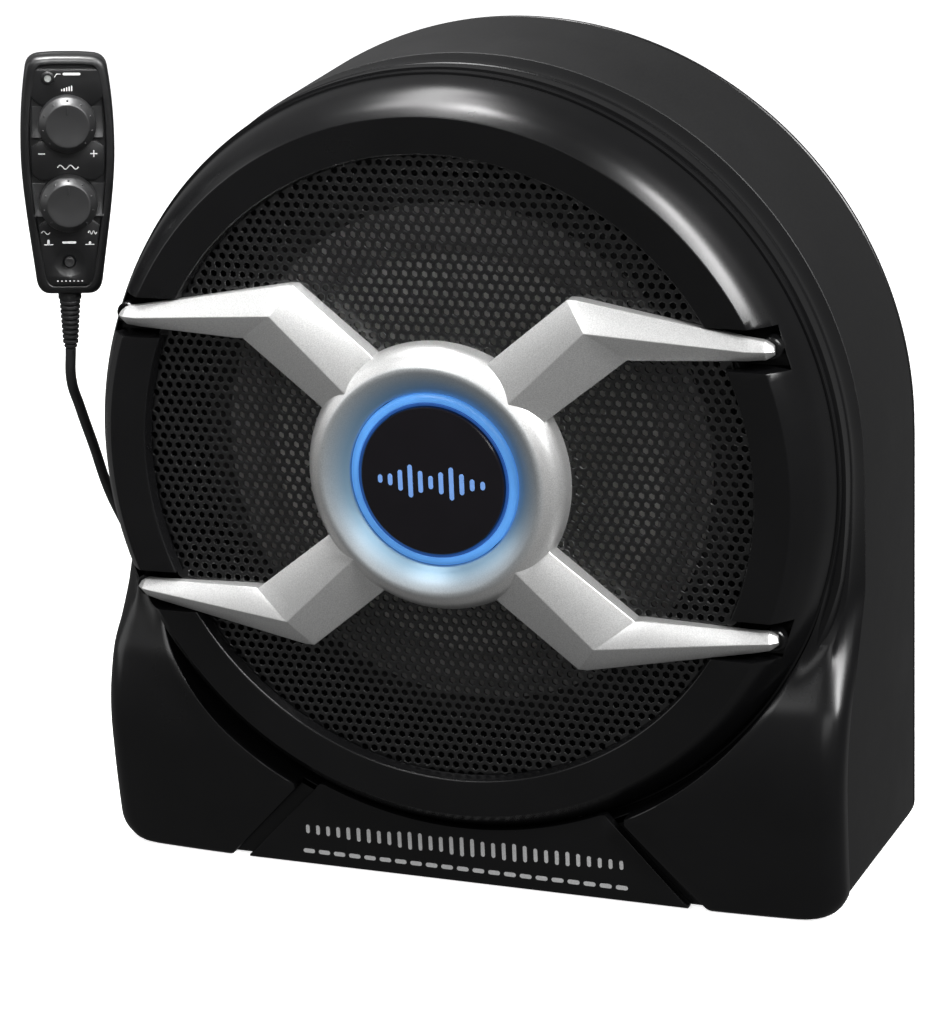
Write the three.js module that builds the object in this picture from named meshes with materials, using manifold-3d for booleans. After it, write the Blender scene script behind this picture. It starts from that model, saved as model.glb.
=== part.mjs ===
// Powered car subwoofer: a slim moulded cabinet with a round perforated front,
// a silver four-armed trim with a lit hub, and a wired control box.
// Millimetres, +Z up, front toward -Y. Origin: centre of the flat underside.
// Inside the cabinet group, y = 0 is the grille plane and z = 0 the grille centre.

import * as THREE from "three";
import { mergeVertices } from "three/addons/utils/BufferGeometryUtils.js";
import Module from "manifold-3d";

const wasm = await Module();
wasm.setup();

// ---------------------------------------------------------------- dimensions
const GAP = 0.3; // clearance between neighbouring pieces
const TURN = Math.PI * 2;

// Cabinet
const HUB_Z = 160; // height of the grille centre above the underside
const GRILLE_Y = -50; // the grille plane in the part's frame
const BODY_R = 145; // rounded top, at the front of the rear shell
const BODY_HALF = 144.5; // half width of the straight sides
const BODY_CORNER = 11; // bottom corner radius
const SHELL_WALL = 3.5;
const SHELL_Y = 38; // where the rear shell starts above the feet
const SHELL_BACK = 96.5;
const PANEL_BACK = 100; // outer face of the rear panel
const DRAFT = 0.0235; // growth of the shell from its front to its back

// Feet and name plate
const TOE_DEPTH = 10; // how far the feet stand in front of the seam
const TOE_CROWN = 4; // how far their middle bulges forward
const EDGE_R = 8; // rounding of their outer edges
const GROOVE_R = 141.5; // inner edge of the feet
const PLATE_FACE = 2.4;
const PLATE_R = 137.4; // the name plate's curved top edge
const PLATE_TOP_HALF = 54;
const PLATE_LOW_HALF = 88;
const STRIP = 5; // recessed strip beside the name plate
const POCKET_FLOOR = 6.2;

// Front ring and grille
const GRILLE_R = 115; // visible radius of the grille
const GRILLE_T = 1.2;
const CREST_R = 129.4; // sharp outer edge of the ring's flat face
const FLANK_R = 140.6; // where the ring's flank meets the shoulder
const FLANK_Y = 15.3;
const SEAT_Y = 11.5; // the ring's back face
const NOTCH_Z = 52.4; // height of the notches from the centre
const NOTCH_H = 15;
const NOTCH_X = 126.5;
const NOTCH_FLOOR = 6.5;

// Driver
const BAFFLE_Y = 27;
const BAFFLE_T = 4;
const OPENING_R = 93;
const FLANGE_R = 103;
const CONE_R = 77;
const COIL_R = 20.4;
const MAGNET_R = 55;
const TOP_PLATE_Y = 62.3;
const MAGNET_Y = 67.6;
const BACK_PLATE_Y = 82.9;
const BACK_PLATE_END = 89;

// Silver trim and hub
const HUB_R = 49;
const HUB_RIDGE_R = 41.5;
const HUB_INNER_R = 32;
const BADGE_R = 27.2;

// Control box, turned toward its right-hand front
const REMOTE_AT = [-152.1, -30, 259.3];
const REMOTE_YAW = 0.5;
const REMOTE_LEAN = 0.06;
const REMOTE_DEPTH = 7; // half thickness
const GAIN_V = 20; // control heights from the box's middle
const FREQ_V = -9.5;
const PHASE_V = -32;
const LED_U = -6.8;
const LED_V = 36.5;
const KNOB_R = 10.6;

// Control cord
const CORD_R = 2;
const COIL_AT = [30, 108]; // centre of the stored coil, on the floor
const COIL_IN = 14;
const COIL_OUT = 34;
const COIL_H = 24;
const JACK_X = 24;
const JACK_Z = -124;

// ------------------------------------------------------------------- helpers
// Removes normals and uvs and joins equal corners, so the mesh is closed.
function joined(geometry) {
  const g = geometry.clone();
  g.deleteAttribute("normal");
  g.deleteAttribute("uv");
  return mergeVertices(g, 1e-4);
}

// Turns a closed geometry into a manifold solid with its faces pointing out.
function solid(geometry) {
  const g = joined(geometry);
  const p = g.attributes.position.array;
  const index = Array.from(g.index.array);
  let volume = 0;
  for (let i = 0; i < index.length; i += 3) {
    const [a, b, c] = [index[i] * 3, index[i + 1] * 3, index[i + 2] * 3];
    volume += p[a] * (p[b + 1] * p[c + 2] - p[b + 2] * p[c + 1]);
    volume += p[a + 1] * (p[b + 2] * p[c] - p[b] * p[c + 2]);
    volume += p[a + 2] * (p[b] * p[c + 1] - p[b + 1] * p[c]);
  }
  if (volume < 0) {
    index.reverse();
  }
  const mesh = new wasm.Mesh({
    numProp: 3,
    vertProperties: new Float32Array(p),
    triVerts: new Uint32Array(index),
  });
  return new wasm.Manifold(mesh);
}

function geometryOf(manifold) {
  const mesh = manifold.getMesh();
  const g = new THREE.BufferGeometry();
  g.setAttribute("position", new THREE.BufferAttribute(new Float32Array(mesh.vertProperties), 3));
  g.setIndex(new THREE.BufferAttribute(new Uint32Array(mesh.triVerts), 1));
  g.computeVertexNormals();
  return g;
}

// A body turned about the Y axis from a closed profile of [radius, y] pairs.
function turned(profile, segments = 64, x = 0, z = 0) {
  const points = profile.map(([r, y]) => new THREE.Vector2(r, y));
  if (profile[0][0] > 0) {
    points.push(points[0].clone());
  }
  const g = new THREE.LatheGeometry(points, segments);
  g.translate(x, 0, z);
  return solid(g);
}

// A flat outline in x and z, made solid from yFront to yBack.
function plate(shape, yFront, yBack, curveSegments = 16) {
  const depth = yBack - yFront;
  const g = new THREE.ExtrudeGeometry(shape, { depth, curveSegments, bevelEnabled: false });
  g.rotateX(Math.PI / 2);
  g.translate(0, yBack, 0);
  return solid(g);
}

// A flat outline in y and z, made solid across x from -half to half.
function bar(shape, half) {
  const g = new THREE.ExtrudeGeometry(shape, { depth: half * 2, bevelEnabled: false });
  g.rotateX(Math.PI / 2);
  g.rotateZ(Math.PI / 2);
  g.translate(-half, 0, 0);
  return solid(g);
}

function outline(points) {
  const s = new THREE.Shape();
  points.forEach(([a, b], i) => (i === 0 ? s.moveTo(a, b) : s.lineTo(a, b)));
  s.closePath();
  return s;
}

// A rectangle with rounded corners.
function roundedRect(cx, cz, w, h, r) {
  const [x0, x1, z0, z1] = [cx - w / 2, cx + w / 2, cz - h / 2, cz + h / 2];
  const s = new THREE.Shape();
  s.moveTo(x0 + r, z0);
  s.lineTo(x1 - r, z0);
  s.absarc(x1 - r, z0 + r, r, -Math.PI / 2, 0, false);
  s.absarc(x1 - r, z1 - r, r, 0, Math.PI / 2, false);
  s.absarc(x0 + r, z1 - r, r, Math.PI / 2, Math.PI, false);
  s.absarc(x0 + r, z0 + r, r, Math.PI, Math.PI * 1.5, false);
  return s;
}

function block(x0, x1, y0, y1, z0, z1) {
  const g = new THREE.BoxGeometry(x1 - x0, y1 - y0, z1 - z0);
  g.translate((x0 + x1) / 2, (y0 + y1) / 2, (z0 + z1) / 2);
  return solid(g);
}

// A cylinder along Y.
function rod(cx, cz, yFront, yBack, radius, segments = 24) {
  const g = new THREE.CylinderGeometry(radius, radius, yBack - yFront, segments);
  g.translate(cx, (yFront + yBack) / 2, cz);
  return solid(g);
}

// A cylinder standing along Z.
function post(cx, cy, zLow, zHigh, radius, segments = 24) {
  const g = new THREE.CylinderGeometry(radius, radius, zHigh - zLow, segments);
  g.rotateX(Math.PI / 2);
  g.translate(cx, cy, (zLow + zHigh) / 2);
  return solid(g);
}

function around(count, radius, start, make) {
  for (let i = 0; i < count; i += 1) {
    const angle = start + (i * TURN) / count;
    make(radius * Math.cos(angle), radius * Math.sin(angle), i, angle);
  }
}

function look(color, roughness, metalness) {
  return new THREE.MeshStandardMaterial({ color, roughness, metalness });
}

function add(group, name, manifold, material) {
  const mesh = new THREE.Mesh(geometryOf(manifold), material);
  mesh.name = name;
  group.add(mesh);
}

// ----------------------------------------------------------------- materials
const SATIN_BLACK = look(0x0c0c0d, 0.35, 0.0);
const SHELL_GREY = look(0x2c2c2e, 0.62, 0.0);
const SILVER = look(0xc9c9c7, 0.32, 0.8);
const GLOW_BLUE = look(0x4a90e0, 0.4, 0.0);
const BADGE_BLACK = look(0x17151a, 0.3, 0.0);
const STEEL_BLACK = look(0x101011, 0.4, 0.6);
const RUBBER = look(0x141414, 0.8, 0.0);
const CONE_GREY = look(0x8c8c88, 0.6, 0.1);
const CLOTH = look(0x9a7a3c, 0.9, 0.0);
const PLATED = look(0xb8b8b4, 0.35, 0.9);
const FERRITE = look(0x2a2a2c, 0.7, 0.1);
const CIRCUIT = look(0x1d4a2c, 0.5, 0.0);
const COPPER = look(0xb06a35, 0.4, 0.8);
const ALUMINIUM = look(0x9a9c9e, 0.4, 0.9);
const BRASS = look(0xc29a4a, 0.35, 0.9);
const CAN = look(0x20242c, 0.4, 0.2);
const CORD_BLACK = look(0x1a1a1b, 0.6, 0.0);
const LAMP = look(0xd8e4f4, 0.2, 0.0);

// ------------------------------------------------------------ cabinet outline
// Rounded top, straight sides and a flat bottom with rounded corners.
function bodyShape(inset) {
  const half = BODY_HALF - inset;
  const low = -HUB_Z + inset;
  const corner = Math.max(BODY_CORNER - inset, 2);
  const s = new THREE.Shape();
  s.moveTo(-half + corner, low);
  s.lineTo(half - corner, low);
  s.absarc(half - corner, low + corner, corner, -Math.PI / 2, 0, false);
  s.lineTo(half, -8);
  s.absarc(0, 0, BODY_R - inset, 0, Math.PI, false);
  s.lineTo(-half, -8);
  s.absarc(-half + corner, low + corner, corner, Math.PI, Math.PI * 1.5, false);
  return s;
}

// The shell widens slightly toward the back. Its underside stays level.
function drafted(manifold) {
  const g = geometryOf(manifold);
  const p = g.attributes.position;
  for (let i = 0; i < p.count; i += 1) {
    const grow = 1 + (DRAFT * (p.getY(i) - SEAT_Y)) / (PANEL_BACK - SEAT_Y);
    p.setX(i, p.getX(i) * grow);
    if (p.getZ(i) > 0) {
      p.setZ(i, p.getZ(i) * grow);
    }
  }
  return solid(g);
}

// The seam between front moulding and rear shell: far back above the feet,
// then sweeping forward to the toes. Pairs of [y, z], from the top down.
const SEAM = new THREE.SplineCurve([
  new THREE.Vector2(SHELL_Y, -44),
  new THREE.Vector2(32.5, -56),
  new THREE.Vector2(26, -69),
  new THREE.Vector2(18.5, -82),
  new THREE.Vector2(13.7, -95),
  new THREE.Vector2(11.6, -108),
  new THREE.Vector2(12, -124),
  new THREE.Vector2(13.4, -142),
  new THREE.Vector2(16, -162),
]);
const SEAM_POINTS = SEAM.getPoints(200);

function seamY(z) {
  const below = SEAM_POINTS.findIndex((point) => point.y <= z);
  if (below < 0) {
    return SEAM_POINTS[SEAM_POINTS.length - 1].x;
  }
  return SEAM_POINTS[below].x;
}

// Everything in front of the seam, as a cutter across the body.
function aheadOfSeam() {
  const points = [[-60, -180], [-60, 170], [SHELL_Y, 170]];
  SEAM.getPoints(12).forEach((point) => points.push([point.x, point.y]));
  points.push([16, -180]);
  return bar(outline(points), 200);
}

// The front face of the feet follows the seam and rounds off at the sides.
function toeFace(x, z, half) {
  const out = Math.min(Math.abs(x) / half, 1);
  const crown = TOE_CROWN * (1 - out ** 4);
  const past = Math.max(Math.abs(x) - (half - EDGE_R), 0) / EDGE_R;
  const round = (TOE_DEPTH - 1) * (1 - Math.sqrt(Math.max(1 - past * past, 0)));
  return seamY(z) - TOE_DEPTH - crown + round;
}

// A slab the shape of the feet, before the ring's clearance is cut from it.
function toeSlab(half, low, high, setBack, backOf) {
  const g = new THREE.BoxGeometry(2, 2, 2, 16, 1, 10);
  const p = g.attributes.position;
  for (let i = 0; i < p.count; i += 1) {
    const x = half * Math.sin((p.getX(i) * Math.PI) / 2);
    const z = low + ((p.getZ(i) + 1) / 2) * (high - low);
    const front = toeFace(x, z, half) + setBack;
    p.setXYZ(i, x, p.getY(i) < 0 ? front : backOf(z), z);
  }
  return solid(g);
}

// The name plate's outline, grown sideways by a margin.
function plateShape(margin, topZ, lowZ) {
  const lean = (PLATE_LOW_HALF - PLATE_TOP_HALF) / (HUB_Z - 124);
  const wide = (z) => PLATE_TOP_HALF + lean * (-124 - z) + margin * Math.SQRT2;
  return outline([[-wide(lowZ), lowZ], [wide(lowZ), lowZ], [wide(topZ), topZ], [-wide(topZ), topZ]]);
}

const cabinet = new THREE.Group();
cabinet.position.set(0, GRILLE_Y, HUB_Z);

// ---------------------------------------------------------------- rear shell
function rearShell() {
  const outer = plate(bodyShape(0), 8, SHELL_BACK, 22);
  const inner = plate(bodyShape(SHELL_WALL), 0, SHELL_BACK + 10, 22);
  return drafted(outer.subtract(inner).subtract(aheadOfSeam()));
}
add(cabinet, "rear_shell", rearShell(), SHELL_GREY);

function rearPanel() {
  const sheet = drafted(plate(bodyShape(0), SHELL_BACK + GAP, PANEL_BACK, 22));
  return sheet.subtract(block(JACK_X - 9.4, JACK_X + 9.4, 90, 110, JACK_Z - 8.4, JACK_Z + 8.4));
}
add(cabinet, "rear_panel", rearPanel(), SATIN_BLACK);

// ------------------------------------------------------------- front moulding
// The pan holds the ring, the grille's throat and the driver's baffle.
function pan() {
  return turned([
    [OPENING_R, BAFFLE_Y], [116, BAFFLE_Y], [116, 2.1], [119, 2.1], [119, SEAT_Y + GAP],
    [136.9, SEAT_Y + GAP], [136.9, FLANK_Y + GAP], [141.2, FLANK_Y + GAP], [141.2, 19.6],
    [119, 19.6], [119, BAFFLE_Y + BAFFLE_T], [OPENING_R, BAFFLE_Y + BAFFLE_T],
  ], 48);
}

// The shoulder runs back from the ring's flank to the seam, above the feet.
function shoulder() {
  const ring = turned([
    [138.6, FLANK_Y + GAP], [141.2, FLANK_Y + GAP], [143.2, 27.4],
    [144.9, SHELL_Y - GAP], [141.2, SHELL_Y - GAP], [138, 19.6],
  ], 48);
  return ring.intersect(block(-160, 160, 0, 60, -58, 160));
}

function frontMoulding() {
  const body = plate(bodyShape(0), -40, 60, 22);
  const clearance = rod(0, 0, -60, 60, GROOVE_R, 64);
  const thick = rod(0, 0, -60, 60, GROOVE_R + SHELL_WALL, 64);
  const high = -40;
  const outer = toeSlab(BODY_HALF, -HUB_Z, high, 0, (z) => seamY(z) - GAP);
  const deep = toeSlab(BODY_HALF, -HUB_Z, high, 0, () => 60);
  const hollow = toeSlab(
    BODY_HALF - SHELL_WALL, -HUB_Z + SHELL_WALL, high + 5, SHELL_WALL, () => 80,
  ).subtract(thick);
  const feet = outer.intersect(body).subtract(clearance).subtract(hollow);

  // The wall of the groove round the ring, carried back to the pan.
  const inside = plate(bodyShape(SHELL_WALL + 0.6), -40, 60, 22);
  const sleeve = turned([
    [GROOVE_R, -20], [GROOVE_R + SHELL_WALL, -20], [GROOVE_R + SHELL_WALL, 19.6],
    [138, 19.6], [138, FLANK_Y + GAP], [GROOVE_R, FLANK_Y + GAP],
  ], 64).intersect(deep).intersect(inside);

  // The pocket for the name plate has a floor and side walls of its own.
  const pocketShape = plateShape(STRIP + 3, -100, -200);
  const pocket = plate(pocketShape, -40, POCKET_FLOOR + 3)
    .intersect(deep).intersect(body).subtract(clearance);
  const recess = plate(plateShape(STRIP, -90, -210), -60, POCKET_FLOOR);
  const recessed = recess.subtract(rod(0, 0, -70, 70, GROOVE_R - 1, 64));
  return pan().add(shoulder()).add(feet).add(sleeve).add(pocket).subtract(recessed);
}
add(cabinet, "front_moulding", frontMoulding(), SATIN_BLACK);

// ------------------------------------------------------------------ name plate
function namePlate() {
  const slab = plate(plateShape(0, -100, -HUB_Z + 0.4), PLATE_FACE, POCKET_FLOOR - GAP);
  return slab.subtract(rod(0, 0, -20, 20, PLATE_R + 0.4, 64));
}
add(cabinet, "name_plate", namePlate(), SATIN_BLACK);

// ------------------------------------------------------------------ front ring
function frontRing() {
  const ring = turned([
    [GRILLE_R, 0.1], [GRILLE_R, -0.7], [120, -4.5], [CREST_R, -4.8], [133.2, -1.2],
    [137.8, 6], [FLANK_R, FLANK_Y], [137.2, FLANK_Y], [137.2, SEAT_Y], [119.3, SEAT_Y],
    [119.3, 0.1],
  ], 60);
  let cut = ring;
  for (const sx of [-1, 1]) {
    for (const sz of [-1, 1]) {
      const xs = [sx * 90, sx * NOTCH_X].sort((a, b) => a - b);
      const zc = sz * NOTCH_Z;
      cut = cut.subtract(block(xs[0], xs[1], -20, NOTCH_FLOOR, zc - NOTCH_H / 2, zc + NOTCH_H / 2));
    }
  }
  return cut;
}
add(cabinet, "front_ring", frontRing(), SATIN_BLACK);

// ---------------------------------------------------------------------- grille
function grille() {
  return turned([[24, 0.4], [118, 0.4], [118, 0.4 + GRILLE_T], [24, 0.4 + GRILLE_T]], 48);
}
add(cabinet, "grille", grille(), STEEL_BLACK);

// ----------------------------------------------------------------- silver trim
// One arm in the right-hand upper quarter: a ridge runs out along the diagonal,
// turns at the elbow and tapers to a rounded tip in the ring's notch. Each
// section is [outer edge, ridge, inner edge], as x, y, z, and a base depth.
function arm() {
  const sections = [
    { outer: [15, -8, 36.7], ridge: [24, -13.6, 24], inner: [35, -8, 16.5], base: -0.4 },
    { outer: [22.9, -7.6, 44.6], ridge: [30.4, -13.4, 30.4], inner: [43, -7.6, 24.4], base: -0.4 },
    { outer: [51.2, -6.2, 67.6], ridge: [59, -12, 57.4], inner: [72.6, -6.2, 47.4], base: -0.4 },
    { outer: [54.6, -6.1, 67.6], ridge: [61.4, -11.8, 57.2], inner: [75.2, -6, 47.2], base: -0.4 },
    { outer: [114.6, -3, 56.7], ridge: [114.6, -6.2, 52.5], inner: [114.6, -3, 48.6], base: -0.4 },
    { outer: [120.6, -2, 55.6], ridge: [121.2, -4.6, 52.3], inner: [120.6, -2, 49], base: 2.4 },
    { outer: [123.2, -0.8, 53.8], ridge: [124, -2.2, 52.2], inner: [123.2, -0.8, 50.4], base: 2.4 },
  ];
  const g = new THREE.BufferGeometry();
  const positions = [];
  const index = [];
  const size = 5;
  for (const { outer, ridge, inner, base } of sections) {
    const loop = [outer, ridge, inner, [inner[0], base, inner[2]], [outer[0], base, outer[2]]];
    loop.forEach((point) => positions.push(...point));
  }
  for (let s = 0; s + 1 < sections.length; s += 1) {
    for (let i = 0; i < size; i += 1) {
      const a = s * size + i;
      const b = s * size + ((i + 1) % size);
      index.push(a, b, a + size, b, b + size, a + size);
    }
  }
  const last = (sections.length - 1) * size;
  for (let i = 1; i + 1 < size; i += 1) {
    index.push(0, i + 1, i);
    index.push(last, last + i, last + i + 1);
  }
  g.setAttribute("position", new THREE.Float32BufferAttribute(positions, 3));
  g.setIndex(index);
  return g;
}

function silverTrim() {
  let trim = turned([
    [HUB_INNER_R, -0.4], [HUB_R, -0.4], [HUB_R, -6.8], [46, -10.2],
    [HUB_RIDGE_R, -14], [HUB_INNER_R, -8.6],
  ], 48);
  const bore = rod(0, 0, -30, 5, 38, 24);
  for (const sx of [-1, 1]) {
    for (const sz of [-1, 1]) {
      const g = arm();
      const p = g.attributes.position;
      for (let i = 0; i < p.count; i += 1) {
        p.setXYZ(i, p.getX(i) * sx, p.getY(i), p.getZ(i) * sz);
      }
      trim = trim.add(solid(g).subtract(bore));
    }
  }
  return trim;
}
add(cabinet, "silver_trim", silverTrim(), SILVER);

function lightRing() {
  return turned([
    [BADGE_R + GAP, -3.6], [HUB_INNER_R - GAP, -3.6], [HUB_INNER_R - GAP, -8.4],
    [30, -9.8], [BADGE_R + GAP, -9],
  ], 40);
}
add(cabinet, "light_ring", lightRing(), GLOW_BLUE);

function badge() {
  return turned([[0, -3.6], [BADGE_R, -3.6], [BADGE_R, -10.6], [0, -11.6]], 40);
}
add(cabinet, "hub_badge", badge(), BADGE_BLACK);

function ledBoard() {
  return turned([[0, -3.2], [31, -3.2], [31, -1.6], [0, -1.6]], 32);
}
add(cabinet, "led_board", ledBoard(), CIRCUIT);

// ---------------------------------------------------------------------- driver
function basket() {
  let frame = turned([
    [88.6, 24.2], [FLANGE_R, 24.2], [FLANGE_R, 26.7], [91.6, 26.7], [91.2, 32],
    [58.5, 58], [58.5, 62], [30, 62], [30, 60], [55, 60], [55, 54.6], [50.5, 54.6],
    [50.5, 53], [56.5, 53], [88.6, 29.6],
  ], 36);
  for (let i = 0; i < 6; i += 1) {
    const g = new THREE.BoxGeometry(60, 15, 40);
    g.translate(85, 42.5, 0);
    g.rotateY((i * TURN) / 6);
    frame = frame.subtract(solid(g));
  }
  return frame;
}
add(cabinet, "driver_basket", basket(), STEEL_BLACK);

function surround() {
  const profile = [[88, 23.9], [93.5, 23.9], [93.5, 22.9], [88.5, 22.9]];
  const steps = 5;
  for (let i = 1; i < steps; i += 1) {
    const a = (Math.PI * i) / steps;
    profile.push([83 + 5.6 * Math.cos(a), 22.9 - 5.6 * Math.sin(a)]);
  }
  profile.push([77.4, 22.9], [75.4, 22.9], [75.4, 23.9], [78.3, 23.9]);
  for (let i = steps - 1; i > 0; i -= 1) {
    const a = (Math.PI * i) / steps;
    profile.push([83 + 4.7 * Math.cos(a), 23.6 - 4.7 * Math.sin(a)]);
  }
  return turned(profile, 32);
}
add(cabinet, "surround", surround(), RUBBER);

function cone() {
  return turned([
    [COIL_R + GAP, 47.6], [48, 38.5], [CONE_R, 24.2], [CONE_R, 25.6], [48.4, 40], [COIL_R + GAP, 49.4],
  ], 36);
}
add(cabinet, "cone", cone(), CONE_GREY);

function dustCap() {
  return turned([
    [0, 32.6], [12, 34], [21, 37.6], [26.6, 42.8], [26.9, 45.2], [26, 45], [20.6, 38.8],
    [11.7, 35.2], [0, 33.8],
  ], 24);
}
add(cabinet, "dust_cap", dustCap(), CONE_GREY);

function voiceCoil() {
  return turned([[COIL_R - 0.9, 48], [COIL_R, 48], [COIL_R, 76], [COIL_R - 0.9, 76]], 28);
}
add(cabinet, "voice_coil", voiceCoil(), COPPER);

function spider() {
  const outer = 55.5;
  const inner = COIL_R + GAP;
  const waves = 2;
  const front = [];
  const back = [];
  for (let i = 0; i <= waves * 2; i += 1) {
    const r = inner + ((outer - inner) * i) / (waves * 2);
    const y = i % 2 === 0 ? 51.9 : 50.4;
    front.push([r, y - 0.7]);
    back.unshift([r, y]);
  }
  return turned([...front, ...back], 28);
}
add(cabinet, "spider", spider(), CLOTH);

function topPlate() {
  const [y0, y1] = [TOP_PLATE_Y, MAGNET_Y - GAP];
  return turned([[COIL_R + 0.8, y0], [52, y0], [52, y1], [COIL_R + 0.8, y1]], 32);
}
add(cabinet, "top_plate", topPlate(), PLATED);

function magnet() {
  const [y0, y1] = [MAGNET_Y, BACK_PLATE_Y - GAP];
  return turned([[27, y0], [MAGNET_R, y0], [MAGNET_R, y1], [27, y1]], 32);
}
add(cabinet, "magnet", magnet(), FERRITE);

function backPlate() {
  return turned([
    [5, TOP_PLATE_Y], [COIL_R - 1.9, TOP_PLATE_Y], [COIL_R - 1.9, BACK_PLATE_Y],
    [52, BACK_PLATE_Y], [52, BACK_PLATE_END], [5, BACK_PLATE_END],
  ], 32);
}
add(cabinet, "back_plate", backPlate(), PLATED);

around(6, 98, Math.PI / 6, (x, z, i) => {
  const head = rod(x, z, 21.8, 23.9, 3.4, 10).subtract(rod(x, z, 20, 22.8, 1.5, 6));
  add(cabinet, `driver_screw_${i + 1}`, head, PLATED);
});

// ------------------------------------------------------------------- amplifier
function amplifierBoard() {
  return block(-92, 100, 40, 92, -148.4, -146.8);
}
add(cabinet, "amplifier_board", amplifierBoard(), CIRCUIT);

function toroid() {
  const g = new THREE.LatheGeometry([
    [9, -9], [20, -9], [23, -6], [23, 6], [20, 9], [9, 9], [9, -9],
  ].map(([r, y]) => new THREE.Vector2(r, y)), 20);
  g.rotateX(Math.PI / 2);
  g.translate(-62, 66, -137.2);
  return solid(g);
}
add(cabinet, "toroid_coil", toroid(), COPPER);

[-24, 0].forEach((x, i) => {
  add(cabinet, `capacitor_${i + 1}`, post(x, 56, -146.4, -120, 9, 16), CAN);
});

// A finned cooler outside the rear panel.
function cooler() {
  const fins = 13;
  const pitch = 10.5;
  const points = [[-70, 0], [70, 0]];
  for (let i = fins - 1; i >= 0; i -= 1) {
    const x = (i - (fins - 1) / 2) * pitch;
    points.push([x + 1, 3.2], [x + 1, 12], [x - 1, 12], [x - 1, 3.2]);
  }
  points.splice(2, 0, [70, 3.2]);
  points.push([-70, 3.2]);
  const g = new THREE.ExtrudeGeometry(outline(points), { depth: 70, bevelEnabled: false });
  g.translate(0, PANEL_BACK + GAP, 12);
  return solid(g);
}
add(cabinet, "rear_cooler", cooler(), ALUMINIUM);

function connectionPanel() {
  const face = plate(roundedRect(0, -121, 132, 54, 4), PANEL_BACK + GAP, PANEL_BACK + 2.3, 4);
  return face.subtract(block(JACK_X - 9.4, JACK_X + 9.4, 90, 110, JACK_Z - 8.4, JACK_Z + 8.4));
}
add(cabinet, "connection_panel", connectionPanel(), SATIN_BLACK);

[-112, -130].forEach((z, i) => {
  const y = PANEL_BACK + 2.6;
  const jack = turned([
    [0, y], [6.2, y], [6.2, y + 1.6], [4.2, y + 1.6], [4.2, y + 9], [1.7, y + 9], [1.7, y + 2],
    [0, y + 2],
  ], 14, -50, z);
  add(cabinet, `input_jack_${i + 1}`, jack, BRASS);
});

function terminalBlock() {
  const y = PANEL_BACK + 2.6;
  let body = block(-34, 4, y, y + 11, -130, -114);
  [-27.5, -15, -2.5].forEach((x) => {
    body = body.subtract(rod(x, -119, y + 6, y + 20, 3, 12));
    body = body.subtract(block(x - 3.4, x + 3.4, y + 4, y + 20, -131, -127));
  });
  return body;
}
add(cabinet, "power_terminals", terminalBlock(), SATIN_BLACK);

[-27.5, -15, -2.5].forEach((x, i) => {
  const y = PANEL_BACK + 8.9;
  const slit = block(x - 3, x + 3, y + 1, y + 3, -119.4, -118.6);
  const head = rod(x, -119, y, y + 1.8, 2.6, 12).subtract(slit);
  add(cabinet, `terminal_screw_${i + 1}`, head, BRASS);
});

function fuse() {
  const y = PANEL_BACK + 2.6;
  return block(42, 60, y, y + 7, -126, -118).add(block(46, 56, y, y + 11, -124, -120));
}
add(cabinet, "fuse", fuse(), GLOW_BLUE);

// The control cord's socket, open to the back.
function remoteJack() {
  const back = PANEL_BACK + 3;
  const body = block(JACK_X - 9, JACK_X + 9, back - 17, back, JACK_Z - 8, JACK_Z + 8);
  const mouth = block(JACK_X - 6.2, JACK_X + 6.2, back - 14, back + 5, JACK_Z - 4.6, JACK_Z + 4.6);
  return body.subtract(mouth);
}
add(cabinet, "control_socket", remoteJack(), SATIN_BLACK);

const REAR_SCREWS = [[-120, -146], [120, -146], [-136, -30], [136, -30], [-86, 108], [86, 108]];
REAR_SCREWS.forEach(([x, z], i) => {
  const y = PANEL_BACK + GAP;
  const head = rod(x, z, y, y + 1.9, 3.6, 10).subtract(rod(x, z, y + 0.9, y + 4, 1.5, 6));
  add(cabinet, `rear_screw_${i + 1}`, head, PLATED);
});

// ----------------------------------------------------------------- control box
// In the box's own frame: x across, z up, the controls facing -y.
const remote = new THREE.Group();
remote.position.set(...REMOTE_AT);
remote.rotation.set(0, REMOTE_LEAN, REMOTE_YAW, "ZYX");

// A tall outline, widest above the middle and narrow at the foot.
function remoteShape(inset) {
  const [top, low] = [44.6 - inset, -44.4 + inset];
  const s = new THREE.Shape();
  s.moveTo(-7 + inset / 2, low);
  s.lineTo(7 - inset / 2, low);
  s.quadraticCurveTo(11.4 - inset, low, 12.2 - inset, low + 5);
  s.bezierCurveTo(14.6 - inset, -20, 17.2 - inset, -4, 17.2 - inset, 10);
  s.quadraticCurveTo(17.2 - inset, 26, 15 - inset, top - 5);
  s.quadraticCurveTo(14.2 - inset, top, 9, top);
  s.lineTo(-9, top);
  s.quadraticCurveTo(-14.2 + inset, top, -15 + inset, top - 5);
  s.quadraticCurveTo(-17.2 + inset, 26, -17.2 + inset, 10);
  s.bezierCurveTo(-17.2 + inset, -4, -14.6 + inset, -20, -12.2 + inset, low + 5);
  s.quadraticCurveTo(-11.4 + inset, low, -7 + inset / 2, low);
  return s;
}

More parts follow.
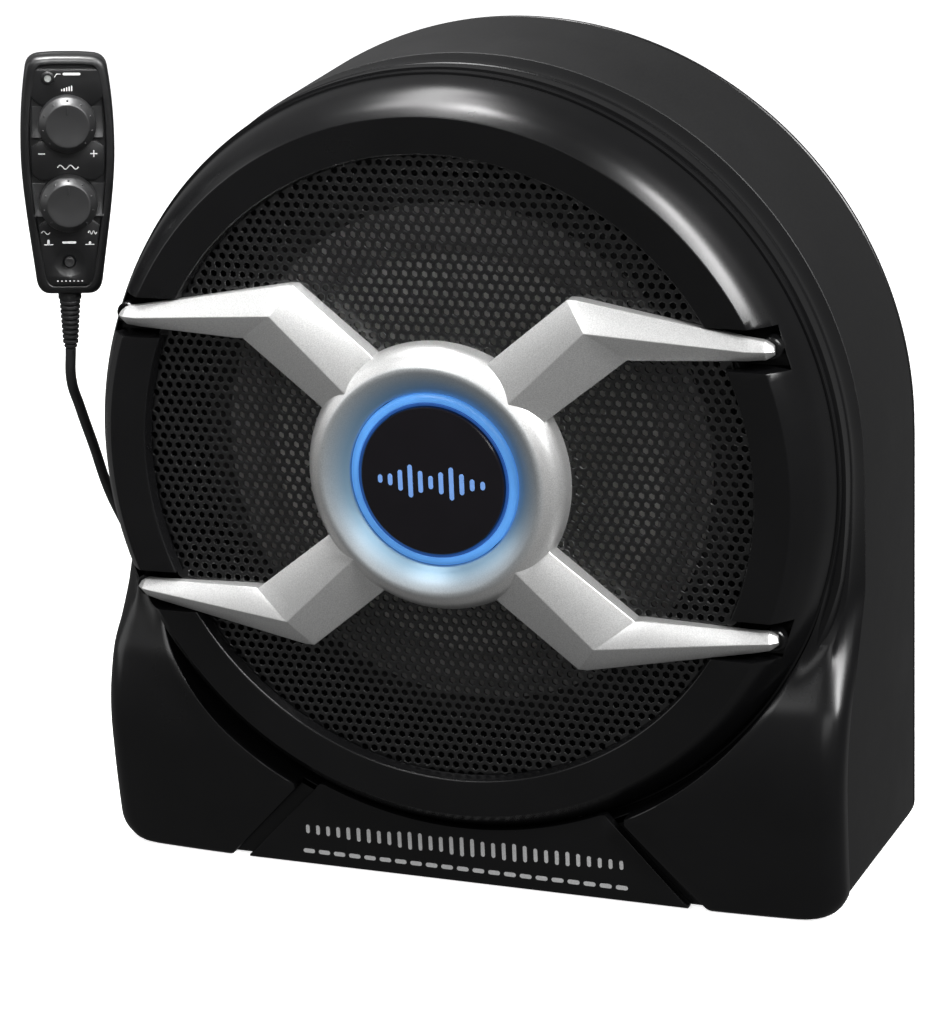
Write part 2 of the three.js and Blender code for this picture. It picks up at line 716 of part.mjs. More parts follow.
function remoteFront() {
  const skin = plate(remoteShape(0), -REMOTE_DEPTH, -GAP / 2, 4);
  const hollow = plate(remoteShape(1.8), -REMOTE_DEPTH + 2, 5, 4);
  let shell = skin.subtract(hollow);
  shell = shell.subtract(rod(0, GAIN_V, -20, 0, 3.6, 12));
  shell = shell.subtract(rod(0, FREQ_V, -20, 0, 3.6, 12));
  shell = shell.subtract(rod(0, PHASE_V, -20, 0, 2.4, 12));
  shell = shell.subtract(rod(LED_U, LED_V, -20, 0, 1.9, 10));
  const dish = new THREE.SphereGeometry(14, 16, 10);
  dish.translate(0, -REMOTE_DEPTH - 12.7, PHASE_V);
  return shell.subtract(solid(dish));
}
add(remote, "control_front", remoteFront(), SATIN_BLACK);

function remoteBack() {
  const skin = plate(remoteShape(0), GAP / 2, REMOTE_DEPTH, 4);
  return skin.subtract(plate(remoteShape(1.8), -2, REMOTE_DEPTH - 2, 4));
}
add(remote, "control_back", remoteBack(), SATIN_BLACK);

// A domed knob with finger flutes round its skirt, on its own spindle bore.
function knob(v) {
  const y = -REMOTE_DEPTH - GAP;
  let body = turned([
    [0, y - 4], [1.8, y - 4], [1.8, y], [KNOB_R, y], [KNOB_R - 0.5, y - 4.5],
    [8.2, y - 6.6], [6.8, y - 7.8], [0, y - 7.6],
  ], 24, 0, v);
  around(8, KNOB_R + 2.6, 0.2, (x, z) => {
    body = body.subtract(rod(x, z + v, y - 6, y + 1, 3.4, 10));
  });
  return body.subtract(block(-0.5, 0.5, y - 9, y - 7, v + 3, v + 7));
}
add(remote, "gain_knob", knob(GAIN_V), SATIN_BLACK);
add(remote, "frequency_knob", knob(FREQ_V), SATIN_BLACK);

function phaseButton() {
  return rod(0, PHASE_V, -REMOTE_DEPTH - 0.6, -2.6, 2, 16);
}
add(remote, "phase_button", phaseButton(), SATIN_BLACK);

function powerLamp() {
  return rod(LED_U, LED_V, -REMOTE_DEPTH - 0.3, -2.2, 1.6, 16);
}
add(remote, "power_lamp", powerLamp(), LAMP);

add(remote, "control_board", block(-9.5, 9.5, 2.2, 3.6, -35, 38), CIRCUIT);

// A rotary control: a square case and a spindle through the front.
function pot(v) {
  const shaft = rod(0, v, -REMOTE_DEPTH - 4, 0, 1.5, 16);
  return block(-5, 5, -4.4, 1.9, v - 5, v + 5).add(shaft);
}
add(remote, "gain_control", pot(GAIN_V), PLATED);
add(remote, "frequency_control", pot(FREQ_V), PLATED);
add(remote, "phase_switch", block(-3, 3, -0.2, 1.9, PHASE_V - 3, PHASE_V + 3), CAN);

// The tapered strain relief under the box.
const RELIEF_TOP = -44.7;
const RELIEF_LOW = -66;
function strainRelief() {
  const profile = [
    [0, RELIEF_TOP], [4.2, RELIEF_TOP], [4, RELIEF_TOP - 3], [2.6, RELIEF_LOW], [0, RELIEF_LOW],
  ];
  const g = new THREE.LatheGeometry(profile.map(([r, y]) => new THREE.Vector2(r, y)), 16);
  g.rotateX(Math.PI / 2);
  return solid(g);
}
add(remote, "control_strain_relief", strainRelief(), RUBBER);

// ----------------------------------------------------------------- control cord
// A tube with eight sides along hand-set points in the part's frame.
function cordTube(points, steps) {
  const knots = points.map((point) => new THREE.Vector3(...point));
  const path = new THREE.CatmullRomCurve3(knots, false, "centripetal");
  const section = new THREE.Shape();
  section.absarc(0, 0, CORD_R, 0, TURN, false);
  const g = new THREE.ExtrudeGeometry(section, { steps, curveSegments: 4, extrudePath: path });
  return solid(g);
}

// From the strain relief, behind the cabinet, down to the floor and the coil.
const CORD_TO_COIL = [
  [-155.6, -32, 192.8], [-156.3, -32.2, 181], [-157, -26, 168.5], [-161, -10, 148],
  [-165.5, 7, 126], [-170.5, 27, 106], [-174, 48, 84], [-172, 68, 60], [-160, 84, 36],
  [-142, 96, 16], [-121, 103, 5], [-99, 104, 2.3], [-76, 98, 2.3], [-52, 88, 2.3],
  [-27, 79, 2.3], [-2, 73.8, 2.3], [13, 73.2, 2.3],
];
// Out of the coil's middle, over its turns and into the plug.
const CORD_TO_PLUG = [
  [14.4, 101, 26.4], [14.8, 94, 27.2], [17, 86, 29.6], [20.4, 79.4, 33], [23.2, 73.6, 35.6],
  [24, 68.6, 36],
];

const subwoofer = new THREE.Group();
subwoofer.add(cabinet);
subwoofer.add(remote);
add(subwoofer, "control_cord", cordTube(CORD_TO_COIL, 44), CORD_BLACK);
add(subwoofer, "control_cord_end", cordTube(CORD_TO_PLUG, 8), CORD_BLACK);

function cordCoil() {
  const g = new THREE.LatheGeometry([
    [COIL_IN, 0], [COIL_OUT, 0], [COIL_OUT, COIL_H], [COIL_IN, COIL_H], [COIL_IN, 0],
  ].map(([r, y]) => new THREE.Vector2(r, y)), 32);
  g.rotateX(Math.PI / 2);
  g.translate(COIL_AT[0], COIL_AT[1], 0.2);
  return solid(g);
}
add(subwoofer, "cord_coil", cordCoil(), CORD_BLACK);

// A modular plug: its nose sits in the socket and a boot holds the cord.
function plug() {
  const face = GRILLE_Y + PANEL_BACK + 3;
  const z = HUB_Z + JACK_Z;
  const nose = block(JACK_X - 5.8, JACK_X + 5.8, face - 10, face + 2, z - 4.2, z + 4.2);
  const boot = block(JACK_X - 6.5, JACK_X + 6.5, face + 1, face + 10, z - 5, z + 5);
  const neck = rod(JACK_X, z, face + 9, face + 15.3, 3, 16);
  return nose.add(boot).add(neck);
}
add(subwoofer, "control_plug", plug(), CORD_BLACK);

export default subwoofer;
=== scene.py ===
# Powered car subwoofer: the looks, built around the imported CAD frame.
# Shapes are worked out in millimetres from the centre of the grille plane
# ("hub" millimetres: x across, y toward the back, z up) and placed in metres.

from math import atan2, cos, exp, hypot, pi, radians, sin, sqrt, tau

import bmesh
import bpy
from mathutils import Matrix, Vector
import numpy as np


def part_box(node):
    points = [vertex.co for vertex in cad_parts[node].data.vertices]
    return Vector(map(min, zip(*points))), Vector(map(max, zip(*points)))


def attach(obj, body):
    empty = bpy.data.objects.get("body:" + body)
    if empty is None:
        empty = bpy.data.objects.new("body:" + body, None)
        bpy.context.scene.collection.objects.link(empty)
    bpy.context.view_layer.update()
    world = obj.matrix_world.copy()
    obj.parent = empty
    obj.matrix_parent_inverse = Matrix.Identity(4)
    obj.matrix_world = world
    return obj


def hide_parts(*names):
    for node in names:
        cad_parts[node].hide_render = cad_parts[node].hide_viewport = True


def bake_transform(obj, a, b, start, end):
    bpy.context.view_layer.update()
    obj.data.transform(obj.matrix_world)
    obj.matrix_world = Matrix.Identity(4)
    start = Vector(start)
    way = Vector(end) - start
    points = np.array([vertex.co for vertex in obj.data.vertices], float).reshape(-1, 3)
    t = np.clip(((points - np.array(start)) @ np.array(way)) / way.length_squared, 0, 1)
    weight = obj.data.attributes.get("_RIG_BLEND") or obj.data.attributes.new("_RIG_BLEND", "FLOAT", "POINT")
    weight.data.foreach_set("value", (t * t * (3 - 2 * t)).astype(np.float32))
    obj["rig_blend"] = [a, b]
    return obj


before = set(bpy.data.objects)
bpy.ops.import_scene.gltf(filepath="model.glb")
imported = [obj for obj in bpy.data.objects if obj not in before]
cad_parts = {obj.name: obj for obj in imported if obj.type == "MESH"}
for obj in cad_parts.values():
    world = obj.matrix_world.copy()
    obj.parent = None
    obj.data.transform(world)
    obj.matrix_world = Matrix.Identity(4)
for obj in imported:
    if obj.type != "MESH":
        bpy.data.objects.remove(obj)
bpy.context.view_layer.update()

MM = 0.001
GAP = 0.3  # clearance between neighbouring pieces
GRILLE_FRONT = 0.4  # the grille's face behind its own plane
QUARTERS = [(sx, sz) for sx in (-1, 1) for sz in (-1, 1)]

grille_low, grille_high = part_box("grille")
HUB = Vector((0, grille_low.y - GRILLE_FRONT * MM, (grille_low.z + grille_high.z) / 2))
FLOOR = -HUB.z / MM  # the floor's height in hub millimetres


def linked(name, data):
    """A new object in the scene."""
    obj = bpy.data.objects.new(name, data)
    bpy.context.scene.collection.objects.link(obj)
    return obj


def hub_box(node):
    """The two corners of a CAD node's box, in hub millimetres."""
    return [(corner - HUB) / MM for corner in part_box(node)]


# ---- the camera ----
def add_camera():
    """The photograph's view: from the right, slightly above, with a long lens."""
    azimuth, pitch, roll = radians(21.86), radians(17.28), radians(-2.49)
    right = Vector((cos(azimuth), sin(azimuth), 0))
    ahead = Vector((-sin(azimuth) * cos(pitch), cos(azimuth) * cos(pitch), -sin(pitch)))
    up = right.cross(ahead)
    side = cos(roll) * right + sin(roll) * up
    top = -sin(roll) * right + cos(roll) * up
    data = bpy.data.cameras.new("camera")
    data.lens = 114.2
    data.sensor_width = 36
    data.shift_x = 0.0106
    data.shift_y = -0.0135
    data.clip_start = 0.05
    data.clip_end = 60
    camera = linked("camera", data)
    camera.matrix_world = Matrix((side, top, -ahead)).transposed().to_4x4()
    camera.location = (0.4177, -1.0768, 0.4953)
    bpy.context.scene.camera = camera


add_camera()


# ---- materials ----
def fill(node, values):
    """Sets a node's inputs by name or number."""
    for key, value in values.items():
        node.inputs[key].default_value = value


class Finish:
    """A material with helper calls for its procedural nodes; sizes in millimetres."""

    def __init__(self, name, colour, roughness, metallic=0.0, specular=0.5):
        self.material = bpy.data.materials.new(name)
        self.material.use_nodes = True
        self.tree = self.material.node_tree
        self.shader = next(n for n in self.tree.nodes if n.type == "BSDF_PRINCIPLED")
        self.colour = colour
        self.roughness = roughness
        fill(self.shader, {
            "Base Color": (*colour, 1), "Roughness": roughness, "Metallic": metallic,
            "Specular IOR Level": specular,
        })
        self.place = self.node("ShaderNodeTexCoord").outputs["Object"]
        self.normal = None

    def node(self, kind, values=None, **settings):
        made = self.tree.nodes.new(kind)
        for key, value in settings.items():
            setattr(made, key, value)
        fill(made, values or {})
        return made

    def link(self, source, target):
        self.tree.links.new(source, target)

    def noise(self, size, detail=3.0):
        """Noise whose blobs are about size across."""
        values = {"Scale": 1 / (size * MM), "Detail": detail, "Roughness": 0.55}
        made = self.node("ShaderNodeTexNoise", values)
        self.link(self.place, made.inputs["Vector"])
        return made.outputs["Fac"]

    def ranged(self, value, low, high, start=0.3, end=0.7):
        """A value from start to end turned into one from low to high."""
        values = {"From Min": start, "From Max": end, "To Min": low, "To Max": high}
        made = self.node("ShaderNodeMapRange", values)
        self.link(value, made.inputs["Value"])
        return made.outputs["Result"]

    def mixed(self, factor, first, second):
        mix = self.node("ShaderNodeMix", {"A": (*first, 1), "B": (*second, 1)}, data_type="RGBA")
        self.link(factor, mix.inputs["Factor"])
        return mix

    def blend_colours(self, factor, first, second):
        mix = self.mixed(factor, first, second)
        self.link(mix.outputs["Result"], self.shader.inputs["Base Color"])
        return mix

    def mottle(self, size, amount):
        """Colour that wanders a little lighter and darker."""
        dark = tuple(c * (1 - amount) for c in self.colour)
        light = tuple(min(c * (1 + amount), 1) for c in self.colour)
        self.blend_colours(self.ranged(self.noise(size), 0, 1), dark, light)
        return self

    def sheen(self, size, amount):
        """Roughness that differs from place to place, as on handled plastic."""
        low, high = self.roughness - amount, self.roughness + amount
        self.link(self.ranged(self.noise(size, 5), low, high), self.shader.inputs["Roughness"])
        return self

    def edge(self, radius):
        """Catches light on sharp edges, as their small moulding radius does."""
        made = self.node("ShaderNodeBevel", {"Radius": radius * MM}, samples=6)
        self.normal = made.outputs["Normal"]
        self.link(self.normal, self.shader.inputs["Normal"])
        return self

    def bump(self, height, depth, strength=1.0):
        made = self.node("ShaderNodeBump", {"Strength": strength, "Distance": depth * MM})
        self.link(height, made.inputs["Height"])
        if self.normal is not None:
            self.link(self.normal, made.inputs["Normal"])
        self.normal = made.outputs["Normal"]
        self.link(self.normal, self.shader.inputs["Normal"])
        return self

    def grain(self, size, depth, strength=1.0):
        return self.bump(self.noise(size, 2), depth, strength)

    def glow(self, colour, strength):
        fill(self.shader, {"Emission Color": (*colour, 1), "Emission Strength": strength})
        return self


def plain(name, colour, roughness, mottle, sheen, edge=None, grain=None, **shader):
    """A material with mottled colour, wandering sheen and, where given, more."""
    made = Finish(name, colour, roughness, **shader).mottle(*mottle).sheen(*sheen)
    if edge:
        made.edge(edge)
    if grain:
        made.grain(*grain)
    return made.material


def metal(name, colour, roughness, scratch=3.0):
    wear = ((scratch, 0.12), (scratch, 0.08), 0.2, (0.4, 0.01))
    return plain(name, colour, roughness, *wear, metallic=1.0)


def tinted(name, colour, roughness=0.3):
    return plain(name, colour, roughness, (4, 0.12), (5, 0.05), 0.3, (0.5, 0.008))


def lit_silver():
    """Silver paint with painted blue light close to the hub: a blue colour and a faint glow that stand in
    for light from the light ring beside it.
    """
    silver = (0.66, 0.66, 0.655)
    made = Finish("silver_paint_lit", silver, 0.38, metallic=0.72)
    split = made.node("ShaderNodeSeparateXYZ")
    made.link(made.place, split.inputs["Vector"])
    across = made.node("ShaderNodeCombineXYZ")
    made.link(split.outputs["X"], across.inputs["X"])
    height = made.node("ShaderNodeMath", {1: HUB.z}, operation="SUBTRACT")
    made.link(split.outputs["Z"], height.inputs[0])
    made.link(height.outputs["Value"], across.inputs["Z"])
    radius = made.node("ShaderNodeVectorMath", operation="LENGTH")
    made.link(across.outputs["Vector"], radius.inputs[0])
    speck = made.ranged(made.noise(0.36, 2), 0, 1)
    flakes = made.mixed(speck, [0.82 * c for c in silver], [1.18 * c for c in silver])
    # Painted light: near the light ring the silver turns blue and glows faintly, in place of the ring's
    # light falling on it.
    near = made.ranged(radius.outputs["Value"], 1.0, 0.0, 34 * MM, 43.5 * MM)
    ring_light_paint = made.blend_colours(near, silver, (0.25, 0.38, 0.48))
    made.link(flakes.outputs["Result"], ring_light_paint.inputs["A"])
    made.glow((0.20, 0.50, 1.0), 0)
    lit = made.ranged(radius.outputs["Value"], 0.05, 0.0, 32 * MM, 41 * MM)
    made.link(lit, made.shader.inputs["Emission Strength"])
    fill(made.shader, {"Coat Weight": 0.15, "Coat Roughness": 0.25})
    return made.sheen(0.6, 0.06).grain(0.3, 0.012, 0.6).material


def glowing_blue():
    made = Finish("glowing_blue", (0.08, 0.27, 0.66), 0.3).glow((0.11, 0.35, 0.82), 0)
    made.mottle(6, 0.08)
    made.link(made.ranged(made.noise(9), 0.44, 0.52), made.shader.inputs["Emission Strength"])
    return made.edge(0.3).material


def deep_blue():
    made = Finish("deep_blue_rim", (0.015, 0.06, 0.22), 0.22)
    return made.glow((0.02, 0.09, 0.34), 0.5).mottle(5, 0.15).material


def badge_lens():
    made = Finish("badge_black", (0.0065, 0.0055, 0.0075), 0.16, specular=0.3)
    fill(made.shader, {"Coat Weight": 0.2})
    return made.mottle(12, 0.1).sheen(14, 0.03).material


def badge_print():
    made = Finish("badge_print", (0.16, 0.30, 0.62), 0.35)
    return made.glow((0.16, 0.34, 0.75), 0.35).mottle(2, 0.08).material


def treated_cloth():
    made = Finish("treated_cloth", (0.36, 0.22, 0.06), 0.85, specular=0.2)
    weave = made.node("ShaderNodeTexWave", {"Scale": 900, "Distortion": 0.6}, bands_direction="X")
    made.link(made.place, weave.inputs["Vector"])
    return made.mottle(2, 0.2).bump(weave.outputs["Fac"], 0.2).material


def circuit_board():
    """Green mask with faint traces under it."""
    mask = (0.012, 0.075, 0.03)
    made = Finish("circuit_board", mask, 0.3)
    traces = made.node("ShaderNodeTexBrick", {"Scale": 160, "Mortar Size": 0.06})
    made.link(made.place, traces.inputs["Vector"])
    made.blend_colours(traces.outputs["Fac"], mask, (0.03, 0.14, 0.05))
    return made.bump(traces.outputs["Fac"], 0.03).material


def wound_copper():
    made = Finish("wound_copper", (0.55, 0.2, 0.07), 0.32, metallic=0.9)
    turns = made.node("ShaderNodeTexWave", {"Scale": 500}, bands_direction="Y")
    made.link(made.place, turns.inputs["Vector"])
    return made.mottle(1.5, 0.15).bump(turns.outputs["Fac"], 0.2).material


# Name, colour, roughness, mottle (size, amount), sheen (size, amount), edge radius
# and grain (size, depth, strength).
SATIN = plain(
    "satin_black_plastic", (0.0035, 0.0035, 0.0038), 0.26, (35, 0.18), (26, 0.02),
    grain=(0.5, 0.004, 0.4), specular=0.36,
)
MOULDED = plain(
    "satin_black_moulding", (0.0045, 0.0045, 0.0048), 0.28, (30, 0.18), (20, 0.03), 0.5,
    (0.5, 0.004, 0.4), specular=0.36,
)
SHELL = plain(
    "matt_charcoal_plastic", (0.008, 0.008, 0.0083), 0.52, (0.7, 0.22), (30, 0.05),
    grain=(0.45, 0.03, 0.8), specular=0.32,
)
SILVER = lit_silver()
GLOW = glowing_blue()
GLOW_RIM = deep_blue()
BADGE = badge_lens()
BADGE_PRINT = badge_print()
GRILLE = plain(
    "grille_enamel", (0.003, 0.003, 0.0032), 0.2, (9, 0.25), (6, 0.04), 0.6,
    (0.6, 0.006, 0.5), specular=0.85,
)
ENAMEL = plain(
    "frame_enamel", (0.02, 0.02, 0.021), 0.35, (8, 0.2), (6, 0.08), 0.4, (0.8, 0.02, 0.6),
)
RUBBER = plain(
    "soft_rubber", (0.012, 0.012, 0.0125), 0.62, (10, 0.2), (8, 0.06),
    grain=(0.5, 0.02, 0.7), specular=0.35,
)
# The half roll's rubber is painted light grey: painted light standing in for the light it catches behind the
# grille.
ROLL = plain(
    "surround_rubber", (0.42, 0.42, 0.41), 0.42, (6, 0.15), (5, 0.06), grain=(0.5, 0.02, 0.7),
)
# The cone paper is painted lighter than the paper itself: painted light standing in for the light that
# reaches it through the grille holes.
PAPER = plain(
    "cone_paper", (0.85, 0.85, 0.81), 0.5, (3, 0.12), (4, 0.08), grain=(1.1, 0.12, 0.8),
    specular=0.3,
)
CLOTH = treated_cloth()
PLATED = metal("plated_steel", (0.50, 0.50, 0.49), 0.32)
FERRITE = plain("ferrite", (0.03, 0.03, 0.032), 0.6, (1.2, 0.3), (3, 0.1), 0.6, (0.8, 0.06))
CIRCUIT = circuit_board()
COPPER = wound_copper()
ALUMINIUM = metal("blasted_aluminium", (0.16, 0.165, 0.17), 0.45, 1.2)
BRASS = metal("gold_plate", (0.62, 0.44, 0.14), 0.28)
CAN = tinted("capacitor_sleeve", (0.015, 0.02, 0.035))
FUSE = tinted("fuse_blue", (0.04, 0.12, 0.5), 0.2)
CORD = plain(
    "cord_sheath", (0.014, 0.014, 0.0145), 0.45, (7, 0.2), (9, 0.08), grain=(0.6, 0.02, 0.7),
    specular=0.4,
)
SILVER_PRINT = plain(
    "silver_print", (0.58, 0.58, 0.58), 0.4, (0.5, 0.12), (2, 0.06), metallic=0.2,
)
WHITE_PRINT = plain("white_print", (0.62, 0.62, 0.62), 0.45, (0.4, 0.1), (2, 0.05))
REMOTE = plain(
    "remote_plastic", (0.0045, 0.0045, 0.0048), 0.36, (12, 0.15), (9, 0.05), 0.35,
    (0.35, 0.012, 0.7), specular=0.45,
)
KNOB = plain(
    "knob_plastic", (0.012, 0.012, 0.0124), 0.40, (8, 0.15), (5, 0.05), 0.25,
    (0.3, 0.012, 0.7), specular=0.6,
)
LAMP = plain("clear_lamp", (0.26, 0.27, 0.26), 0.22, (1, 0.1), (2, 0.04), specular=0.4)
RED_RING = tinted("jack_ring_red", (0.35, 0.015, 0.012))
WHITE_RING = tinted("jack_ring_white", (0.6, 0.6, 0.58))


# ---- mesh building ----
class Solid:
    """Closed bodies gathered into one mesh, in hub millimetres."""

    def __init__(self):
        self.points = []
        self.faces = []

    def sweep(self, sections, closed=False):
        """Joins loops of points one after another; open sweeps get end caps."""
        start = len(self.points)
        size = len(sections[0])
        for section in sections:
            self.points.extend(section)
        count = len(sections)
        for s in range(count if closed else count - 1):
            for i in range(size):
                a = start + s * size + i
                b = start + s * size + (i + 1) % size
                c = start + ((s + 1) % count) * size + (i + 1) % size
                d = start + ((s + 1) % count) * size + i
                self.faces.append((a, b, c, d))
        if not closed:
            self.faces.append(tuple(range(start, start + size)))
            last = start + (count - 1) * size
            self.faces.append(tuple(range(last, last + size)))
        return self

    def turned(self, profile, segments, x=0.0, z=0.0):
        """A ring turned about Y from a closed profile of (radius, y)."""
        sections = []
        for i in range(segments):
            angle = tau * i / segments
            c, s = cos(angle), sin(angle)
            sections.append([(x + r * c, y, z + r * s) for r, y in profile])
        return self.sweep(sections, closed=True)

    def domed(self, profile, segments, x=0.0, z=0.0):
        """A body on the axis: profile runs from the axis out and back to it."""
        start = len(self.points)
        inner = profile[1:-1]
        self.points.append((x, profile[0][1], z))
        self.points.append((x, profile[-1][1], z))
        size = len(inner)
        for i in range(segments):
            angle = tau * i / segments
            c, s = cos(angle), sin(angle)
            self.points.extend((x + r * c, y, z + r * s) for r, y in inner)
        for i in range(segments):
            a = start + 2 + i * size
            b = start + 2 + ((i + 1) % segments) * size
            self.faces.append((start, a, b))
            self.faces.append((start + 1, b + size - 1, a + size - 1))
            for k in range(size - 1):
                self.faces.append((a + k, b + k, b + k + 1, a + k + 1))
        return self

    def slab(self, outline, y_front, y_back, ease=0.0):
        """A flat outline of (x, z) made solid, its front edge eased."""
        steps = [(0, y_front + ease), (0, y_back)]
        if ease:
            steps = [(ease, y_front), (ease * 0.3, y_front + ease * 0.3), *steps]
        return self.sweep([[(x, y, z) for x, z in shrunk(outline, inset)] for inset, y in steps])

    def made(self, name, material, matrix=None, smooth_angle=32):
        """The finished object, its faces turned outward."""
        points = [Vector(p) * MM for p in self.points]
        points = [HUB + p if matrix is None else matrix @ p for p in points]
        mesh = bpy.data.meshes.new(name)
        mesh.from_pydata(points, [], self.faces)
        work = bmesh.new()
        work.from_mesh(mesh)
        bmesh.ops.remove_doubles(work, verts=work.verts, dist=1e-7)
        bmesh.ops.recalc_face_normals(work, faces=work.faces)
        work.to_mesh(mesh)
        work.free()
        obj = linked(name, mesh)
        mesh.materials.append(material)
        shade(obj, smooth_angle)
        return obj


def shrunk(outline, inset):
    """A closed outline moved inward by inset, corner by corner."""
    if inset == 0:
        return list(outline)
    count = len(outline)
    pairs = [(outline[i - 1], outline[i]) for i in range(count)]
    area = sum(a[0] * b[1] - b[0] * a[1] for a, b in pairs)
    turn = 1 if area > 0 else -1
    moved = []
    for i in range(count):
        here = Vector(outline[i])
        back = (here - Vector(outline[i - 1])).normalized()
        ahead = (Vector(outline[(i + 1) % count]) - here).normalized()
        normal = Vector((-back.y - ahead.y, back.x + ahead.x)) * turn
        scale = max(normal.length_squared / 2, 0.4)
        moved.append(tuple(here + normal * inset / scale))
    return moved


def shade(obj, angle):
    obj.data.shade_smooth()
    obj.data.set_sharp_from_angle(angle=radians(angle))


def eased(corners, steps=4):
    """Rounds each (a, b, ease) corner of a closed outline; ease is how far
    along the edges the rounding starts."""
    count = len(corners)
    points = []
    for i, (a, b, ease) in enumerate(corners):
        here = Vector((a, b))
        to_last = Vector(corners[i - 1][:2]) - here
        to_next = Vector(corners[(i + 1) % count][:2]) - here
        reach = min(ease, 0.48 * to_last.length, 0.48 * to_next.length)
        if reach <= 0:
            points.append((a, b))
            continue
        start = here + to_last.normalized() * reach
        end = here + to_next.normalized() * reach
        for s in range(steps + 1):
            t = s / steps
            point = start * (1 - t) ** 2 + here * 2 * t * (1 - t) + end * t * t
            points.append((point.x, point.y))
    return points


def applied(obj):
    """Bakes an object's modifiers into its mesh."""
    graph = bpy.context.evaluated_depsgraph_get()
    mesh = bpy.data.meshes.new_from_object(obj.evaluated_get(graph))
    obj.modifiers.clear()
    obj.data = mesh
    return obj


def combined(target, tool, operation="DIFFERENCE", smooth_angle=32):
    modifier = target.modifiers.new("combine", "BOOLEAN")
    modifier.operation = operation
    modifier.solver = "MANIFOLD"
    modifier.object = tool
    applied(target)
    bpy.data.objects.remove(tool)
    shade(target, smooth_angle)
    return target


def softened(obj, width_mm, segments=2, angle=30):
    """Rounds an object's sharp edges in its mesh."""
    modifier = obj.modifiers.new("soft_edges", "BEVEL")
    modifier.width = width_mm * MM
    modifier.segments = segments
    modifier.limit_method = "ANGLE"
    modifier.angle_limit = radians(angle)
    modifier.use_clamp_overlap = True
    return obj


def fitted(obj, slot, *nodes, body="cabinet"):
    """Sets what a finished piece rides on and what it replaces; its slot is not used."""
    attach(obj, body)
    if nodes:
        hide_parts(*nodes)
    return obj


# ---- where the control box is held ----
REMOTE_YAW = 0.5
REMOTE_LEAN = 0.06
REMOTE_FRAME = (
    Matrix.Translation(Vector((-152.1, -30, 259.3)) * MM)
    @ Matrix.Rotation(REMOTE_YAW, 4, "Z")
    @ Matrix.Rotation(REMOTE_LEAN, 4, "Y")
)
RELIEF_TOP, RELIEF_LOW = -44.7, -66.0


# ---- control cord ----
CORD_D = 4.0
COIL_X, COIL_Y = 30.0, 108.0
COIL_LAYERS = (32.0, 28.0, 24.0, 20.0, 16.0)
tauS_UP = 5  # turns that climb or sink in each layer, one diameter apart
STEP_IN = 1 / 3  # part of a turn in which the cord moves to the next layer
POINTS_PER_tau = 16
COIL_START = radians(-60)
CORD_LOW = 2.2

# From the strain relief, behind the cabinet, down to the floor and the coil.
CORD_TO_COIL = [
    (-155.6, -32, 192.8), (-156.3, -32.2, 181), (-157, -26, 168.5), (-161, -10, 148),
    (-165.5, 7, 126), (-170.5, 27, 106), (-174, 48, 84), (-172, 68, 60), (-160, 84, 36),
    (-142, 96, 16), (-121, 103, 5), (-99, 104, 2.3), (-76, 98, 2.3), (-52, 88, 2.3),
    (-27, 79, 2.3), (-2, 73.8, 2.3), (13, 73.2, 2.3), (28, 74.6, 2.3),
]
# Out of the coil's middle, over its turns and into the plug.
CORD_TO_PLUG = [
    (14.4, 101, 26.0), (14.8, 94, 27.2), (17, 86, 29.6), (20.4, 79.4, 33), (23.2, 73.6, 35.6),
    (24, 68.6, 36),
]


def coil_points():
    """Turns wound layer by layer from the outside in, up one and down the next."""
    points = []
    layer_turns = tauS_UP + STEP_IN
    total = layer_turns * len(COIL_LAYERS)
    steps = round(total * POINTS_PER_tau)
    for i in range(steps + 1):
        turns = total * i / steps
        layer = min(int(turns / layer_turns), len(COIL_LAYERS) - 1)
        along = turns - layer * layer_turns
        last = layer == len(COIL_LAYERS) - 1
        climb = CORD_D * (along if last else min(along, tauS_UP))
        height = climb if layer % 2 == 0 else CORD_D * tauS_UP - climb
        radius = COIL_LAYERS[layer]
        if along > tauS_UP and not last:
            part = (along - tauS_UP) / STEP_IN
            radius += (COIL_LAYERS[layer + 1] - radius) * (3 - 2 * part) * part * part
        angle = COIL_START + tau * turns
        place = (COIL_X + radius * cos(angle), COIL_Y + radius * sin(angle))
        points.append((*place, CORD_LOW + height))
    return points


def control_cord():
    route = CORD_TO_COIL + coil_points() + CORD_TO_PLUG
    data = bpy.data.curves.new("control_cord_run", "CURVE")
    data.dimensions = "3D"
    data.bevel_depth = CORD_D / 2 * MM
    data.bevel_resolution = 3
    data.resolution_u = 5
    data.use_fill_caps = True
    spline = data.splines.new("BEZIER")
    spline.bezier_points.add(len(route) - 1)
    for point, place in zip(spline.bezier_points, route):
        point.co = Vector(place) * MM
        point.handle_left_type = point.handle_right_type = "AUTO"
    data.materials.append(CORD)
    cord = linked("control_cord_run", data)
    return fitted(cord, "cord_black", "control_cord", "cord_coil", "control_cord_end")


def strain_relief():
    """A tapered boot with finger-like ribs, under the control box."""
    body = Solid()
    ribs = 9
    collar = 3.2
    span = (RELIEF_TOP - collar) - (RELIEF_LOW + 1)
    # Each rib's (cut, share of its step): two rounded shoulders and the slot below.
    rib = [(0.1, 0.08), (0, 0.2), (0, 0.56), (0.1, 0.66), (0.85, 0.7), (0.85, 0.98)]
    profile = [(0, RELIEF_TOP), (4.3, RELIEF_TOP), (4.3, RELIEF_TOP - 2.4), (3.7, RELIEF_TOP - collar)]
    for i in range(ribs):
        top = RELIEF_TOP - collar - span * i / ribs
        out = 3.9 - 1.1 * i / ribs
        profile += [(out - cut, top - share * span / ribs) for cut, share in rib]
    profile += [(2.5, RELIEF_LOW + 0.6), (2.3, RELIEF_LOW), (0, RELIEF_LOW)]
    body.domed(profile, 40)
    upright = Matrix.Rotation(pi / 2, 4, "X")
    piece = body.made("strain_relief_boot", RUBBER, REMOTE_FRAME @ upright, 40)
    return fitted(piece, "rubber_black", "control_strain_relief")


relief = strain_relief()
cord = control_cord()


